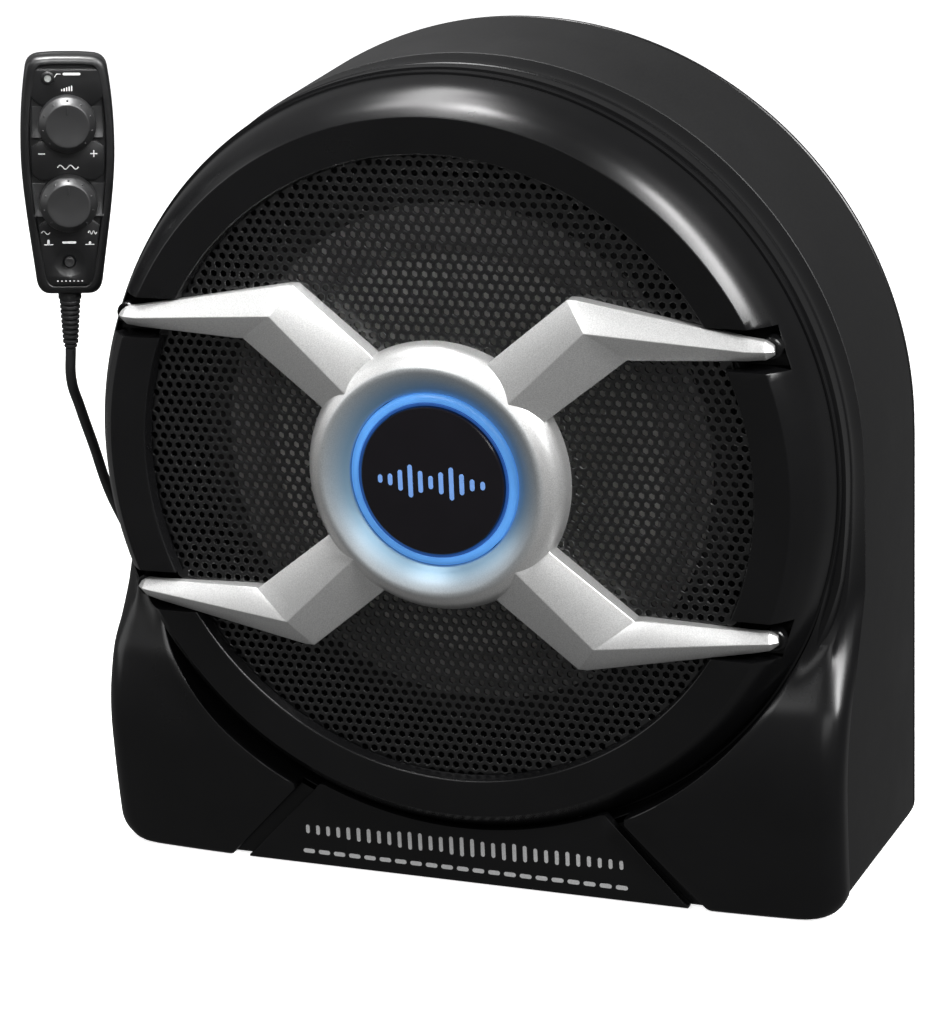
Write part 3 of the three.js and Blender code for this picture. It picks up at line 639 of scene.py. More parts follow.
# ---- cabinet dimensions ----
BODY_R = 144.4  # rounded top where the matt shell starts
BODY_HALF = 144.5  # straight sides
CORNER = 11.0
SHELL_Y = 38.0
SHELL_BACK = 96.5
SPREAD = 0.056  # growth of the shell's radius for each millimetre toward the back
WALL = 3.5
FLANK_R, FLANK_Y = 140.6, 15.3  # the ring's outer edge
GROOVE_R = 141.5
SHOULDER_IN, SHOULDER_OUT = 141.1, 144.2
PAN_BACK = 19.6
TOE_DEPTH = 10.0
TOE_CROWN = 4.0
EDGE_R, EDGE_DEPTH = 8.0, 6.8  # the foot's rounded outer edge
PLATE_FACE = 2.4
PLATE_R = 137.8
PLATE_TOP, PLATE_TOP_HALF = -124, 54
PLATE_SLANT = 34 / 36  # how far its sides lean out for each millimetre down
STRIP = 5.0  # the pocket's floor seen beside the plate
STRIP_FLOOR = 6.2

# Seam between the glossy front and the matt shell, as (y, z) from the top down;
# above its second point it stays at SHELL_Y.
SEAM = [
    (38, -32), (38, -44), (32.5, -56), (26, -69), (18.5, -82), (13.7, -95), (11.6, -108),
    (12, -124), (13.4, -142), (16, -162),
]


def seam_y(z):
    """The seam's depth at a height, smooth through its points."""
    if z >= SEAM[1][1]:
        return SHELL_Y
    for i in range(1, len(SEAM) - 1):
        (y0, z0), (y1, z1), (y2, z2) = SEAM[i - 1:i + 2]
        if z >= z2:
            y3, z3 = SEAM[min(i + 2, len(SEAM) - 1)]
            h = z2 - z1
            t = (z - z1) / h
            slope1, slope2 = (y2 - y0) / (z2 - z0), (y3 - y1) / (z3 - z1)
            return (
                y1 * (2 * t**3 - 3 * t**2 + 1) + slope1 * h * (t**3 - 2 * t**2 + t)
                + y2 * (3 * t**2 - 2 * t**3) + slope2 * h * (t**3 - t**2)
            )
    return SEAM[-1][0]


def smooth_step(value, start, end):
    t = min(max((value - start) / (end - start), 0), 1)
    return t * t * (3 - 2 * t)


def corner_inset(z):
    """How far the bottom corners take the side in at a height."""
    up = z - FLOOR
    if up >= CORNER:
        return 0.0
    return CORNER - sqrt(max(CORNER**2 - (CORNER - up) ** 2, 0))


# ---- rear shell ----
def shell_outline():
    """Points round the cabinet as (x, z, outward x, outward z), from the
    middle of the underside, up the right side and back."""
    flat, side = BODY_HALF - CORNER, FLOOR + CORNER
    points = [(flat * i / 10, FLOOR, 0, -1) for i in range(10)]
    for degree in range(-90, 1, 9):
        c, s = cos(radians(degree)), sin(radians(degree))
        points.append((flat + CORNER * c, FLOOR + CORNER * (1 + s), c, s))
    points += [(BODY_HALF, side * (1 - i / 60), 1, 0) for i in range(1, 60)]
    for degree in range(91):
        c, s = cos(radians(degree)), sin(radians(degree))
        points.append((BODY_R * c, BODY_R * s, c, s))
    return points + [(-x, z, -nx, nz) for x, z, nx, nz in reversed(points[1:-1])]


def shell_section(x, z, nx, nz):
    """One closed section of the shell's wall at a point of its outline."""
    front = seam_y(z) + GAP / 2
    corners = [
        (0, front, 0.7), (WALL, front, 0.5), (WALL, SHELL_BACK, 0), (0, SHELL_BACK, 0.3),
    ]
    section = []
    for inward, y in eased(corners, 3):
        grow = SPREAD * (y - SHELL_Y)
        section.append((x + (grow - inward) * nx, y, z + grow * max(nz, 0) - nz * inward))
    return section


def rear_shell():
    body = Solid()
    body.sweep([shell_section(*point) for point in shell_outline()], closed=True)
    return fitted(body.made("rear_shell_skin", SHELL), "shell_grey", "rear_shell")


def rear_panel():
    """The flat back, set a hair behind the shell, with an eased edge."""
    grow = SPREAD * (SHELL_BACK - SHELL_Y)
    outline = [(x + grow * nx, z + grow * max(nz, 0)) for x, z, nx, nz in shell_outline()]
    back = hub_box("rear_panel")[1].y
    panel = Solid()
    steps = [
        (0.9, SHELL_BACK + GAP), (0, SHELL_BACK + 1.1), (0, back - 1.0), (0.3, back - 0.3),
        (1.0, back),
    ]
    panel.sweep([[(x, y, z) for x, z in shrunk(outline, inset)] for inset, y in steps])
    piece = panel.made("rear_panel_sheet", SATIN)
    low, high = hub_box("control_socket")
    room = 0.4
    x0, x1, z0, z1 = low.x - room, high.x + room, low.z - room, high.z + room
    mouth = Solid()
    mouth.slab([(x0, z0), (x1, z0), (x1, z1), (x0, z1)], 90, 110)
    combined(piece, mouth.made("mouth", SATIN))
    return fitted(piece, "satin_black", "rear_panel")


# ---- front moulding ----
# The shoulder behind the ring, as (radius, y): a land, a narrow slope that
# catches the light, then a shallow hollow back to the seam.
SHOULDER = [
    (SHOULDER_IN, 15.7), (141.35, 17.5), (141.7, 21.0), (142.0, 25.0), (142.85, 26.0), (143.05, 26.5),
    (142.95, 27.3), (142.65, 28.6), (142.7, 30.5), (143.0, 32.5), (143.5, 35.0), (143.9, 36.6),
    (SHOULDER_OUT, SHELL_Y - GAP / 2),
]
ROUND_STEPS = 6


def shoulder_points(inner, outer, z):
    """The shoulder's profile laid between an inner and an outer x."""
    (first, top), (last, end) = SHOULDER[0], SHOULDER[-1]
    seam = seam_y(z) - GAP / 2
    points = []
    for radius, y in SHOULDER:
        x = inner + (outer - inner) * (radius - first) / (last - first)
        points.append((x, top + (y - top) * (seam - top) / (end - top)))
    return points


def foot_points(inner, outer, z):
    """The foot's face between the groove and its rounded outer edge."""
    seam = seam_y(z) - GAP / 2
    low = max(1 - (z - FLOOR) / 1.6, 0)  # the face eases back at the floor
    flat_end = max(outer - EDGE_R, inner + 0.4 * (outer - inner))
    flat_steps = len(SHOULDER) - ROUND_STEPS - 1
    points = [(inner + (flat_end - inner) * i / flat_steps, 0.0) for i in range(flat_steps)]
    for i in range(ROUND_STEPS):
        a = pi / 2 * i / (ROUND_STEPS - 1)
        x = flat_end + (outer - flat_end) * sin(a)
        points.append((x, EDGE_DEPTH * (1 - cos(a))))
    face = []
    for x, back in points:
        crown = TOE_CROWN * (1 - min(abs(x) / BODY_HALF, 1) ** 4)
        face.append((x, seam - TOE_DEPTH - crown + back + low * low * 1.4))
    face.append((outer, seam))
    return face


def skin_section(inner, outer, z):
    """A closed section of the front moulding's outer skin, as (x, y)."""
    share = smooth_step(-z, 40, 84)
    shoulder = shoulder_points(inner, outer, z)
    foot = foot_points(inner, outer, z)
    outside = [
        (sx + (fx - sx) * share, sy + (fy - sy) * share)
        for (sx, sy), (fx, fy) in zip(shoulder, foot)
    ]
    width = outer - inner
    wall = min(WALL, 0.45 * width)
    lip = min(0.9, 0.3 * width) * share + 0.05
    (x0, y0), (x1, y1) = outside[:2]
    reach = min(lip / max(hypot(x1 - x0, y1 - y0), 1e-6), 0.45)
    turned = (x0 + (x1 - x0) * reach, y0 + (y1 - y0) * reach)
    rim = [(x0, y0 + lip), (x0 + (turned[0] - x0) * 0.3, y0 + lip * 0.3), turned]
    seam = outside[-1][1]
    back = [(outer - wall, seam), (inner + wall, PAN_BACK)]
    return [(inner, PAN_BACK - 0.2), *rim, *outside[1:], *back]


def side_heights():
    """Rows down the side of the cabinet, finer where the shape turns."""
    rows = [-1.5 * i for i in range(1, 56)]
    rows += [-84 - 2.2 * i for i in range(30)]
    rows += [FLOOR + CORNER + 0.01]
    rows += [FLOOR + CORNER * (1 - sin(radians(a))) for a in range(10, 91, 8)]
    rows += [FLOOR + 1.6, FLOOR + 0.8, FLOOR + 0.25, FLOOR]
    return sorted({round(z, 3) for z in rows if z >= FLOOR}, reverse=True)


def plate_half(z, margin):
    """Half width of the name plate's outline at a height, with a margin round it."""
    return PLATE_TOP_HALF + PLATE_SLANT * (PLATE_TOP - z) + margin * sqrt(2)


def plate_top(x, radius, margin, lowest):
    """Height of the plate's upper edge: the ring's arc, cut by the slanted sides."""
    beyond = abs(x) - PLATE_TOP_HALF - margin * sqrt(2)
    return max(min(-sqrt(radius**2 - x * x), PLATE_TOP - beyond / PLATE_SLANT), lowest)


def inner_edge(z):
    """Where the front moulding's skin starts, beside the ring or the plate."""
    radius = SHOULDER_IN + (GROOVE_R - SHOULDER_IN) * smooth_step(-z, 20, 60)
    arc = sqrt(max(radius**2 - z * z, 0))
    return max(arc, plate_half(z, STRIP)) if z < -100 else arc


def outer_edge(z):
    """Where the front moulding's skin ends, at the seam."""
    sides = SHOULDER_OUT + (BODY_HALF - SHOULDER_OUT) * smooth_step(-z, 0, 30)
    if z > -20:
        round_top = sqrt(SHOULDER_OUT**2 - z * z * (1 - smooth_step(-z, 0, 20)))
        sides = min(sides, round_top + 0.3)
    return sides - corner_inset(z)


def front_moulding():
    rows = [(z, skin_section(inner_edge(z), outer_edge(z), z)) for z in side_heights()]
    over = skin_section(SHOULDER_IN, SHOULDER_OUT, 0)
    sections = [[(x, y, z) for x, y in section] for z, section in reversed(rows)]
    for degree in range(181):
        c, s = cos(radians(degree)), sin(radians(degree))
        sections.append([(x * c, y, x * s) for x, y in over])
    sections += [[(-x, y, z) for x, y in section] for z, section in rows]
    body = Solid()
    body.sweep(sections)

    # The pan: throat, ring seat, baffle and driver opening.
    body.turned(eased([
        (93, 27, 0.8), (116, 27, 0), (116, 2.1, 0.4), (119, 2.1, 0.4), (119, 11.8, 0),
        (136.9, 11.8, 0), (136.9, 15.6, 0.3), (141.3, 15.6, 0), (141.3, PAN_BACK, 0),
        (119, PAN_BACK, 0), (119, 31, 0), (93, 31, 0.8),
    ], 3), 180)

    # The floor of the pocket behind the name plate.
    sections = []
    reach = plate_half(FLOOR, STRIP) + 2
    low = FLOOR + 0.5
    for i in range(61):
        x = -reach + 2 * reach * i / 60
        top = plate_top(x, GROOVE_R, STRIP + 2, FLOOR + 0.7)
        loop = [(0, top), (3, top), (3, low), (0.5, low), (0, min(low + 0.5, top))]
        sections.append([(x, STRIP_FLOOR + y, z) for y, z in loop])
    body.sweep(sections)

    # The groove's outer wall below the ring, above the name plate.
    sections = []
    loop = [
        (GROOVE_R, PAN_BACK), (GROOVE_R, STRIP_FLOOR + 0.4), (GROOVE_R + 0.4, STRIP_FLOOR),
        (GROOVE_R + 2.5, STRIP_FLOOR), (GROOVE_R + 2.5, PAN_BACK),
    ]
    for i in range(41):
        a = radians(-120 + 60 * i / 40)
        sections.append([(r * cos(a), y, r * sin(a)) for r, y in loop])
    body.sweep(sections)
    skin = body.made("front_moulding_skin", SATIN, smooth_angle=38)
    return fitted(skin, "satin_black", "front_moulding")


# ---- name plate ----
def name_plate():
    plate = Solid()
    sections = []
    back = STRIP_FLOOR - GAP - PLATE_FACE
    reach = 87.2
    low = FLOOR + 0.4
    ease = [(0.5, 0), (0.15, 0.15), (0, 0.5)]  # the rounding of an edge, as (y, inward)
    for i in range(97):
        x = -reach + 2 * reach * i / 96
        top = plate_top(x, PLATE_R, 0, FLOOR + 1.4)
        loop = [(y, top - inward) for y, inward in ease]
        loop += [(y, low + inward) for y, inward in reversed(ease)]
        loop += [(back, low), (back, top)]
        sections.append([(x, PLATE_FACE + y, z) for y, z in loop])
    plate.sweep(sections)
    return fitted(plate.made("name_plate_sheet", SATIN), "satin_black", "name_plate")


def rounded_bar(body, x0, z0, x1, z1, width, y_front, y_back, steps=6):
    """A flat bar with round ends, such as a printed dash."""
    start, end = Vector((x0, z0)), Vector((x1, z1))
    along = (end - start).normalized() if (end - start).length > 0 else Vector((1, 0))
    angle = atan2(along.y, along.x)
    outline = []
    for centre, base in ((end, angle - pi / 2), (start, angle + pi / 2)):
        for i in range(steps + 1):
            a = base + pi * i / steps
            outline.append(tuple(centre + Vector((cos(a), sin(a))) * width / 2))
    body.slab(outline, y_front, y_back)


def plate_print():
    """Generic ornament: a long row of level bars over a row of broad dashes."""
    body = Solid()
    face, back = PLATE_FACE - 0.05, PLATE_FACE + 0.1
    bars_z, dashes_z = -145.4, -154.3
    for i in range(-15, 16):
        x = i * 4.15
        swell = cos(pi * i / 31) * (0.45 + 0.55 * abs(cos(pi * i / 5)))
        half = 0.9 + 2.2 * swell
        rounded_bar(body, x, bars_z - half, x, bars_z + half, 1.5, face, back)
    for i in range(-10, 11):
        x = i * 6.22
        rounded_bar(body, x - 1.5, dashes_z, x + 1.5, dashes_z, 1.7, face, back)
    return fitted(body.made("name_plate_print", SILVER_PRINT), "silver")


# ---- front ring ----
NOTCH_Z = 52.4
NOTCH_H = 15.0
NOTCH_NEAR_X, NOTCH_FAR_X = 128.2, 123.1  # its end leans along the ring's crest
NOTCH_FLOOR = 8.0


def front_ring():
    profile = eased([
        (115.0, 0.1, 0), (115.0, -0.6, 0.4), (116.1, -4.2, 0.8), (129.4, -4.8, 0.45),
        (133.2, -1.0, 2.4), (137.8, 6.0, 4.0), (FLANK_R, FLANK_Y, 0.3), (137.2, FLANK_Y, 0),
        (137.2, 11.5, 0), (119.3, 11.5, 0), (119.3, 0.1, 0),
    ], 6)
    body = Solid()
    ring = body.turned(profile, 288).made("front_ring_skin", SATIN)
    for sx, sz in QUARTERS:
        near, far = sz * (NOTCH_Z - NOTCH_H / 2), sz * (NOTCH_Z + NOTCH_H / 2)
        outline = [(90, near), (NOTCH_NEAR_X, near), (NOTCH_FAR_X, far), (90, far)]
        tool = Solid()
        tool.slab([(sx * x, z) for x, z in outline], -30, NOTCH_FLOOR)
        combined(ring, tool.made("notch", SATIN))
    softened(ring, 0.4, 2, 38)
    applied(ring)
    shade(ring, 32)
    return fitted(ring, "satin_black", "front_ring")


def tip_bosses():
    """Small round seats behind the trim's four tips."""
    body = Solid()
    foot = NOTCH_FLOOR + 0.2
    profile = [(0, foot), (4.0, foot), (4.0, 0.5), (3.6, 0.0), (3.0, 0.1), (2.8, 1.2), (0, 1.2)]
    for sx, sz in QUARTERS:
        body.domed(profile, 32, sx * 121.6, sz * 52.5)
    return fitted(body.made("tip_seats", SATIN), "satin_black")


# ---- grille ----
HOLE_PITCH = 3.8
HOLE_R = 1.36
GRILLE_R = 117.9
HUB_R = 49.0  # the silver hub
GRILLE_THICK = 1.2
HOLES_FROM, HOLES_TO = 46, 115.6  # the sheet is plain under the hub and at its rim


def trim_distance(x, z):
    """Distance from a point of the grille to the silver trim's outline."""
    here = Vector((abs(x), abs(z)))
    spine = [Vector((24, 24)), Vector((60, 57.4)), Vector((121, 52.4))]
    half = [11.5, 11.8, 2.2]
    nearest = hypot(x, z) - HUB_R
    for i in range(2):
        along = spine[i + 1] - spine[i]
        t = min(max((here - spine[i]).dot(along) / along.length_squared, 0), 1)
        width = half[i] + (half[i + 1] - half[i]) * t
        nearest = min(nearest, (here - spine[i] - along * t).length - width)
    return nearest


def grille_y(x, z, back):
    """The sheet's faces; it is pressed forward a little where it meets the trim."""
    rise = 0.55 * (1 - smooth_step(trim_distance(x, z), 1.0, 4.6))
    return GRILLE_FRONT + GRILLE_THICK * back - rise


def grille():
    """A perforated sheet: each hole sits in a six-sided cell of a honeycomb."""
    row_step = HOLE_PITCH * sqrt(3) / 2
    cell_r = HOLE_PITCH / sqrt(3)
    compass = [(cos(radians(a)), sin(radians(a))) for a in range(30, 390, 60)]
    sheet = Solid()
    index = {}
    front_faces = []

    def corner(x, z, back):
        far = hypot(x, z)
        if far > GRILLE_R:
            x, z = x * GRILLE_R / far, z * GRILLE_R / far
        key = (round(x, 2), round(z, 2), back)
        if key not in index:
            index[key] = len(sheet.points)
            sheet.points.append((x, grille_y(x, z, back), z))
        return index[key]

    def hole_loop(x, z, back):
        start = len(sheet.points)
        y = grille_y(x, z, back)
        sheet.points.extend((x + HOLE_R * c, y, z + HOLE_R * s) for c, s in compass)
        return range(start, start + 6)

    rows = int(GRILLE_R / row_step) + 2
    for row in range(-rows, rows + 1):
        for col in range(-rows, rows + 1):
            x = (col + 0.5 * (row % 2)) * HOLE_PITCH
            z = row * row_step
            far = hypot(x, z)
            if far > GRILLE_R or far < 26:
                continue
            front = [corner(x + cell_r * c, z + cell_r * s, 0) for c, s in compass]
            back = [corner(x + cell_r * c, z + cell_r * s, 1) for c, s in compass]
            front_faces.append(front)
            if far > HOLES_TO or far < HOLES_FROM:
                sheet.faces.append(tuple(dict.fromkeys(front)))
                sheet.faces.append(tuple(dict.fromkeys(reversed(back))))
                continue
            near, deep = hole_loop(x, z, 0), hole_loop(x, z, 1)
            for k in range(6):
                n = (k + 1) % 6
                sheet.faces.append((front[k], front[n], near[n], near[k]))
                sheet.faces.append((back[n], back[k], deep[k], deep[n]))
                sheet.faces.append((near[k], near[n], deep[n], deep[k]))

    # Walls along the sheet's outer and inner edges close it.
    behind = {i: index[(x, z, 1)] for (x, z, back), i in index.items() if not back}
    shared = {}
    for face in front_faces:
        for k in range(6):
            pair = (face[k], face[(k + 1) % 6])
            if pair[0] != pair[1]:
                shared.setdefault(frozenset(pair), []).append(pair)
    for pairs in shared.values():
        if len(pairs) == 1:
            a, b = pairs[0]
            sheet.faces.append((a, b, behind[b], behind[a]))
    piece = sheet.made("perforated_grille", GRILLE, smooth_angle=30)
    return fitted(piece, "grille_steel", "grille")


# ---- silver trim ----
# One arm in the right-hand upper quarter. Each section holds its outer edge,
# ridge and inner edge as (x, y, z), and how deep its base lies.
ARM = [
    ((15, -8, 36.7), (24, -12.7, 24), (35, -8, 16.5), -0.4),
    ((22.9, -7.6, 44.6), (30.4, -12.7, 30.4), (43, -7.6, 24.4), -0.4),
    ((51.2, -6.2, 67.6), (59, -12, 57.4), (72.6, -6.2, 47.4), -0.4),
    ((54.6, -6.1, 67.6), (61.4, -11.8, 57.2), (75.2, -6, 47.2), -0.4),
    ((114.6, -3, 56.7), (114.6, -6.2, 52.5), (114.6, -3, 48.6), -0.4),
    ((120.6, -2, 55.6), (121.2, -4.6, 52.3), (120.6, -2, 49), 1.0),
    ((123.2, -0.8, 53.8), (124, -2.2, 52.2), (123.2, -0.8, 50.4), 1.0),
]


def trim_arm(sx, sz):
    body = Solid()
    loops = []
    for outer, ridge, inner, base in ARM:
        loop = [outer, ridge, inner, (inner[0], base, inner[2]), (outer[0], base, outer[2])]
        loops.append([Vector((x * sx, y, z * sz)) for x, y, z in loop])
    steps = 6
    sections = []
    for first, second in zip(loops, loops[1:]):
        sections += [[a.lerp(b, i / steps) for a, b in zip(first, second)] for i in range(steps)]
    body.sweep([*sections, loops[-1]])
    arm = body.made("arm", SILVER)
    softened(arm, 1.2, 3, 20)
    applied(arm)
    bore = Solid()
    bore.turned([(0.01, -30), (43, -30), (43, 5), (0.01, 5)], 48)
    return combined(arm, bore.made("bore", SILVER))


def silver_trim():
    profile = eased([
        (32, -0.4, 0), (HUB_R, -0.4, 0), (HUB_R, -6.6, 1.6), (46.6, -10.8, 2.2), (41.6, -13.9, 1.4),
        (38.2, -12.4, 2.6), (32, -8.4, 0.6),
    ], 6)
    hub = Solid()
    trim = hub.turned(profile, 192).made("silver_cross", SILVER)
    for sx, sz in QUARTERS:
        combined(trim, trim_arm(sx, sz), "UNION")
    shade(trim, 24)
    return fitted(trim, "silver", "silver_trim")


def light_ring():
    outer = Solid()
    outer.turned(eased([
        (28.6, -3.6, 0), (31.7, -3.6, 0), (31.7, -8.5, 0.5), (30.3, -9.5, 0.8), (28.6, -9.4, 0.5),
    ], 4), 160)
    fitted(outer.made("light_ring_lens", GLOW), "glow_blue", "light_ring")
    inner = Solid()
    inner.turned(eased([
        (27.5, -3.6, 0), (28.5, -3.6, 0), (28.5, -9.6, 0.3), (27.5, -9.4, 0.3),
    ], 3), 160)
    return fitted(inner.made("light_ring_rim", GLOW_RIM), "glow_blue", "light_ring")


def badge():
    lens = Solid()
    lens.domed([
        (0, -3.6), (27.2, -3.6), (27.2, -10.2), (26.8, -10.6), (18, -11.1), (9, -11.4), (0, -11.5),
    ], 160)
    fitted(lens.made("hub_badge_lens", BADGE), "badge_black", "hub_badge")
    mark = Solid()
    heights = (3.2, 6.4, 10.4, 6.0, 2.6, 1.4)  # from the middle bar outward
    for i in range(-5, 6):
        half = heights[abs(i)] / 2
        x = i * 3.9
        front = -11.62 + 0.0012 * x * x
        rounded_bar(mark, x, -half, x, half, 1.7, front, front + 0.5)
    return fitted(mark.made("hub_badge_bars", BADGE_PRINT), "glow_blue")


rear_shell()
rear_panel()
front_moulding()
name_plate()
plate_print()
front_ring()
tip_bosses()
grille()
silver_trim()
light_ring()
badge()


# ---- the control box ----
REMOTE_FLOOR = -5.6  # the sunk floor of its face, in the box's own millimetres
REMOTE_FACE = -6.95
GAIN_V = 20.0
FREQ_V = -9.5
PHASE_V = -32.0
LED_U, LED_V = -6.8, 36.5
KNOB_R = 10.6


def bezier(*anchors, steps=7):
    """Points along a Bezier curve of any order, without its first point."""
    made = []
    for s in range(1, steps + 1):
        t = s / steps
        row = [Vector(p) for p in anchors]
        while len(row) > 1:
            row = [a.lerp(b, t) for a, b in zip(row, row[1:])]
        made.append((row[0].x, row[0].y))
    return made


def remote_outline(inset):
    """Widest above the middle, narrow at the foot, a little crowned at the top."""
    top, low = 44.6 - inset, -44.4 + inset
    right = [(7 - inset / 2, low)]
    right += bezier(right[-1], (11.4 - inset, low), (12.2 - inset, low + 5), steps=6)
    right += bezier(right[-1], (14.6 - inset, -20), (17.2 - inset, -4), (17.2 - inset, 10), steps=12)
    right += bezier(right[-1], (17.2 - inset, 26), (15 - inset, top - 5), steps=8)
    right += bezier(right[-1], (14.2 - inset, top - 0.5), (9, top - 0.3), steps=6)
    right += [(4.5, top)]
    return right + [(-u, v) for u, v in reversed(right)]


def layered(body, steps):
    """A shell built from outlines of the control box, as (inset, y) steps."""
    body.sweep([[(u, y, v) for u, v in remote_outline(inset)] for inset, y in steps])


def remote_rod(u, v, y_front, y_back, radius):
    tool = Solid()
    tool.domed([(0, y_front), (radius, y_front), (radius, y_back), (0, y_back)], 32, u, v)
    return tool.made("rod", REMOTE, REMOTE_FRAME)


def scallop(body, side, v_top, v_low):
    """A lit hollow beside a knob: its floor climbs toward its lower end."""
    sections = []
    for i in range(9):
        t = i / 8
        v = v_top + (v_low - v_top) * t
        y = REMOTE_FLOOR - 0.06 - 1.5 * t ** 3.2
        near, far = 8.5, 13.3 - 0.5 * abs(v) / 20
        loop = [(near, y), (far - 0.5, y), (far, y - 0.25), (far, -5.1), (near, -5.1)]
        sections.append([(side * u, w, v) for u, w in loop])
    body.sweep(sections)


def control_front():
    shell = Solid()
    layered(shell, [
        (3.9, REMOTE_FLOOR), (3.45, REMOTE_FLOOR), (3.15, -6.8), (2.9, -7.0), (2.2, -6.98), (1.2, -6.7),
        (0.5, -6.1), (0.1, -5.2), (0, -4.2), (0, -0.15), (1.8, -0.15), (1.8, -5.0),
    ])
    front = shell.made("control_front_skin", REMOTE, REMOTE_FRAME)
    lands = Solid()
    halves = (
        [(9.6, 26.4), (12.9, 29.6), (12.2, 39.6)],
        [(10.2, -1.2), (13.2, 1.2), (13.2, 11.0), (10.2, 13.4)],
        [(7.2, -40.8), (8.9, -37.5), (10.2, -28), (11.3, -18.3), (8.6, -16.2)],
    )
    for half in halves:
        outline = half + [(-u, v) for u, v in reversed(half)]
        lands.slab(outline, REMOTE_FACE, REMOTE_FLOOR + 0.2, ease=0.3)
    combined(front, lands.made("lands", REMOTE, REMOTE_FRAME), "UNION")
    dish = Solid()
    ball_r, ball_y = 14.0, -19.7
    arc = [pi * i / 40 for i in range(41)]
    ball = [(ball_r * sin(a), ball_y + ball_r * cos(a)) for a in arc]
    dish.domed(ball, 64, 0, PHASE_V)
    combined(front, dish.made("dish", REMOTE, REMOTE_FRAME))
    for u, v, radius in ((0, GAIN_V, 3.6), (0, FREQ_V, 3.6), (0, PHASE_V, 2.35), (LED_U, LED_V, 2.1)):
        combined(front, remote_rod(u, v, -12, -2, radius))
    return fitted(front, "satin_black", "control_front")


def control_hollows():
    body = Solid()
    for v_top, v_low in ((26.0, 14.6), (-2.6, -14.8)):
        for side in (-1, 1):
            scallop(body, side, v_top, v_low)
    # The hollows take the lighter knob plastic: painted light, the same plastic as the face made lighter
    # where their sloped floors catch the light.
    return fitted(body.made("control_hollows", KNOB, REMOTE_FRAME), "satin_black")


def lamp_bezel():
    """A dark collar round the power lamp."""
    body = Solid()
    body.turned(eased([
        (1.25, -6.0, 0), (1.25, -7.7, 0.25), (2.5, -7.5, 0.5), (2.6, -6.0, 0),
    ], 3), 40, LED_U, LED_V)
    return fitted(body.made("lamp_bezel", REMOTE, REMOTE_FRAME), "satin_black")


def control_back():
    shell = Solid()
    layered(shell, [
        (4.0, 7.0), (2.4, 6.9), (1.2, 6.6), (0.4, 5.9), (0, 4.8), (0, 0.15), (1.8, 0.15), (1.8, 5.0),
    ])
    skin = shell.made("control_back_skin", REMOTE, REMOTE_FRAME)
    return fitted(skin, "satin_black", "control_back")


def knob(node, v):
    """A round knob with a sloped, dotted skirt and a shallow dished cap."""
    y = -7.3
    body = Solid()
    rim = eased([
        (0.02, y - 4, 0), (1.8, y - 4, 0), (1.8, y, 0), (KNOB_R, y, 0.2), (KNOB_R - 0.15, y - 4.1, 0.7),
        (7.9, y - 7.0, 0.5), (7.3, y - 7.0, 0.6), (4, y - 6.75, 1.5), (0.02, y - 6.7, 0),
    ], 4)
    body.domed([(0, y - 4), *rim[1:-1], (0, y - 6.7)], 96, 0, v)
    for i in range(9):
        a = radians(90 - 135 + 270 * i / 8)
        u, w = 9.1 * cos(a), 9.1 * sin(a)
        body.domed([(0, y - 4.5), (0.32, y - 5.3), (0.26, y - 5.95), (0, y - 6.1)], 10, u, v + w)
    rounded_bar(body, 0, v + 4.4, 0, v + 6.5, 0.55, y - 7.05, y - 6.5)
    return fitted(body.made(f"{node}_cap", KNOB, REMOTE_FRAME), "satin_black", node, body=node)


def phase_button():
    body = Solid()
    body.domed([
        (0, -2.6), (2, -2.6), (2, -7.2), (1.75, -7.6), (1.1, -7.62), (0.6, -7.5), (0, -7.48),
    ], 48, 0, PHASE_V)
    cap = body.made("phase_button_cap", KNOB, REMOTE_FRAME)
    return fitted(cap, "satin_black", "phase_button", body="phase_button")


def control_legend():
    """Generic marks in place of words: ramps, waves, a minus and a plus."""
    body = Solid()
    face, back = REMOTE_FACE - 0.05, REMOTE_FACE + 0.1

    def line(points, width=0.42):
        for (u0, v0), (u1, v1) in zip(points, points[1:]):
            rounded_bar(body, u0, v0, u1, v1, width, face, back)

    def wave(u, v, span, turns, tall):
        steps = 10 * turns
        shares = [i / steps for i in range(steps + 1)]
        line([(u + span * (t - 0.5), v + tall * sin(tau * turns * t)) for t in shares], 0.36)

    line([(-4.4, 36.7), (-3.6, 38.0), (-2.2, 38.0)], 0.22)
    line([(-0.9, 38.0), (4.6, 38.0)], 0.9)
    for i in range(5):
        line([(-1.8 + 0.9 * i, 31.9), (-1.8 + 0.9 * i, 32.3 + 0.3 * i)], 0.45)
    line([(-10.6, 8.6), (-8.4, 8.6)])
    line([(8.4, 8.6), (10.6, 8.6)])
    line([(9.5, 7.5), (9.5, 9.7)])
    wave(0, 3.6, 7.5, 2, 0.75)
    wave(-8.6, -20.9, 3.0, 1, 0.6)
    wave(8.6, -20.9, 3.0, 2, 0.6)
    line([(-2.2, -24.6), (2.2, -24.6)], 0.8)
    for u, tall in ((-7.6, 1.3), (7.6, 0.5)):
        line([(u - 1.5, -25.4), (u + 1.5, -25.4)], 0.3)
        line([(u, -25.2), (u, -25.2 + tall)], 0.9)
    for i in range(7):
        line([(-4.5 + 1.5 * i, -39.2), (-4.4 + 1.5 * i, -39.2)], 0.5)
    return fitted(body.made("control_legend", WHITE_PRINT, REMOTE_FRAME), "silver")


control_front()
control_hollows()
lamp_bezel()
control_back()
knob("gain_knob", GAIN_V)
knob("frequency_knob", FREQ_V)
phase_button()
control_legend()


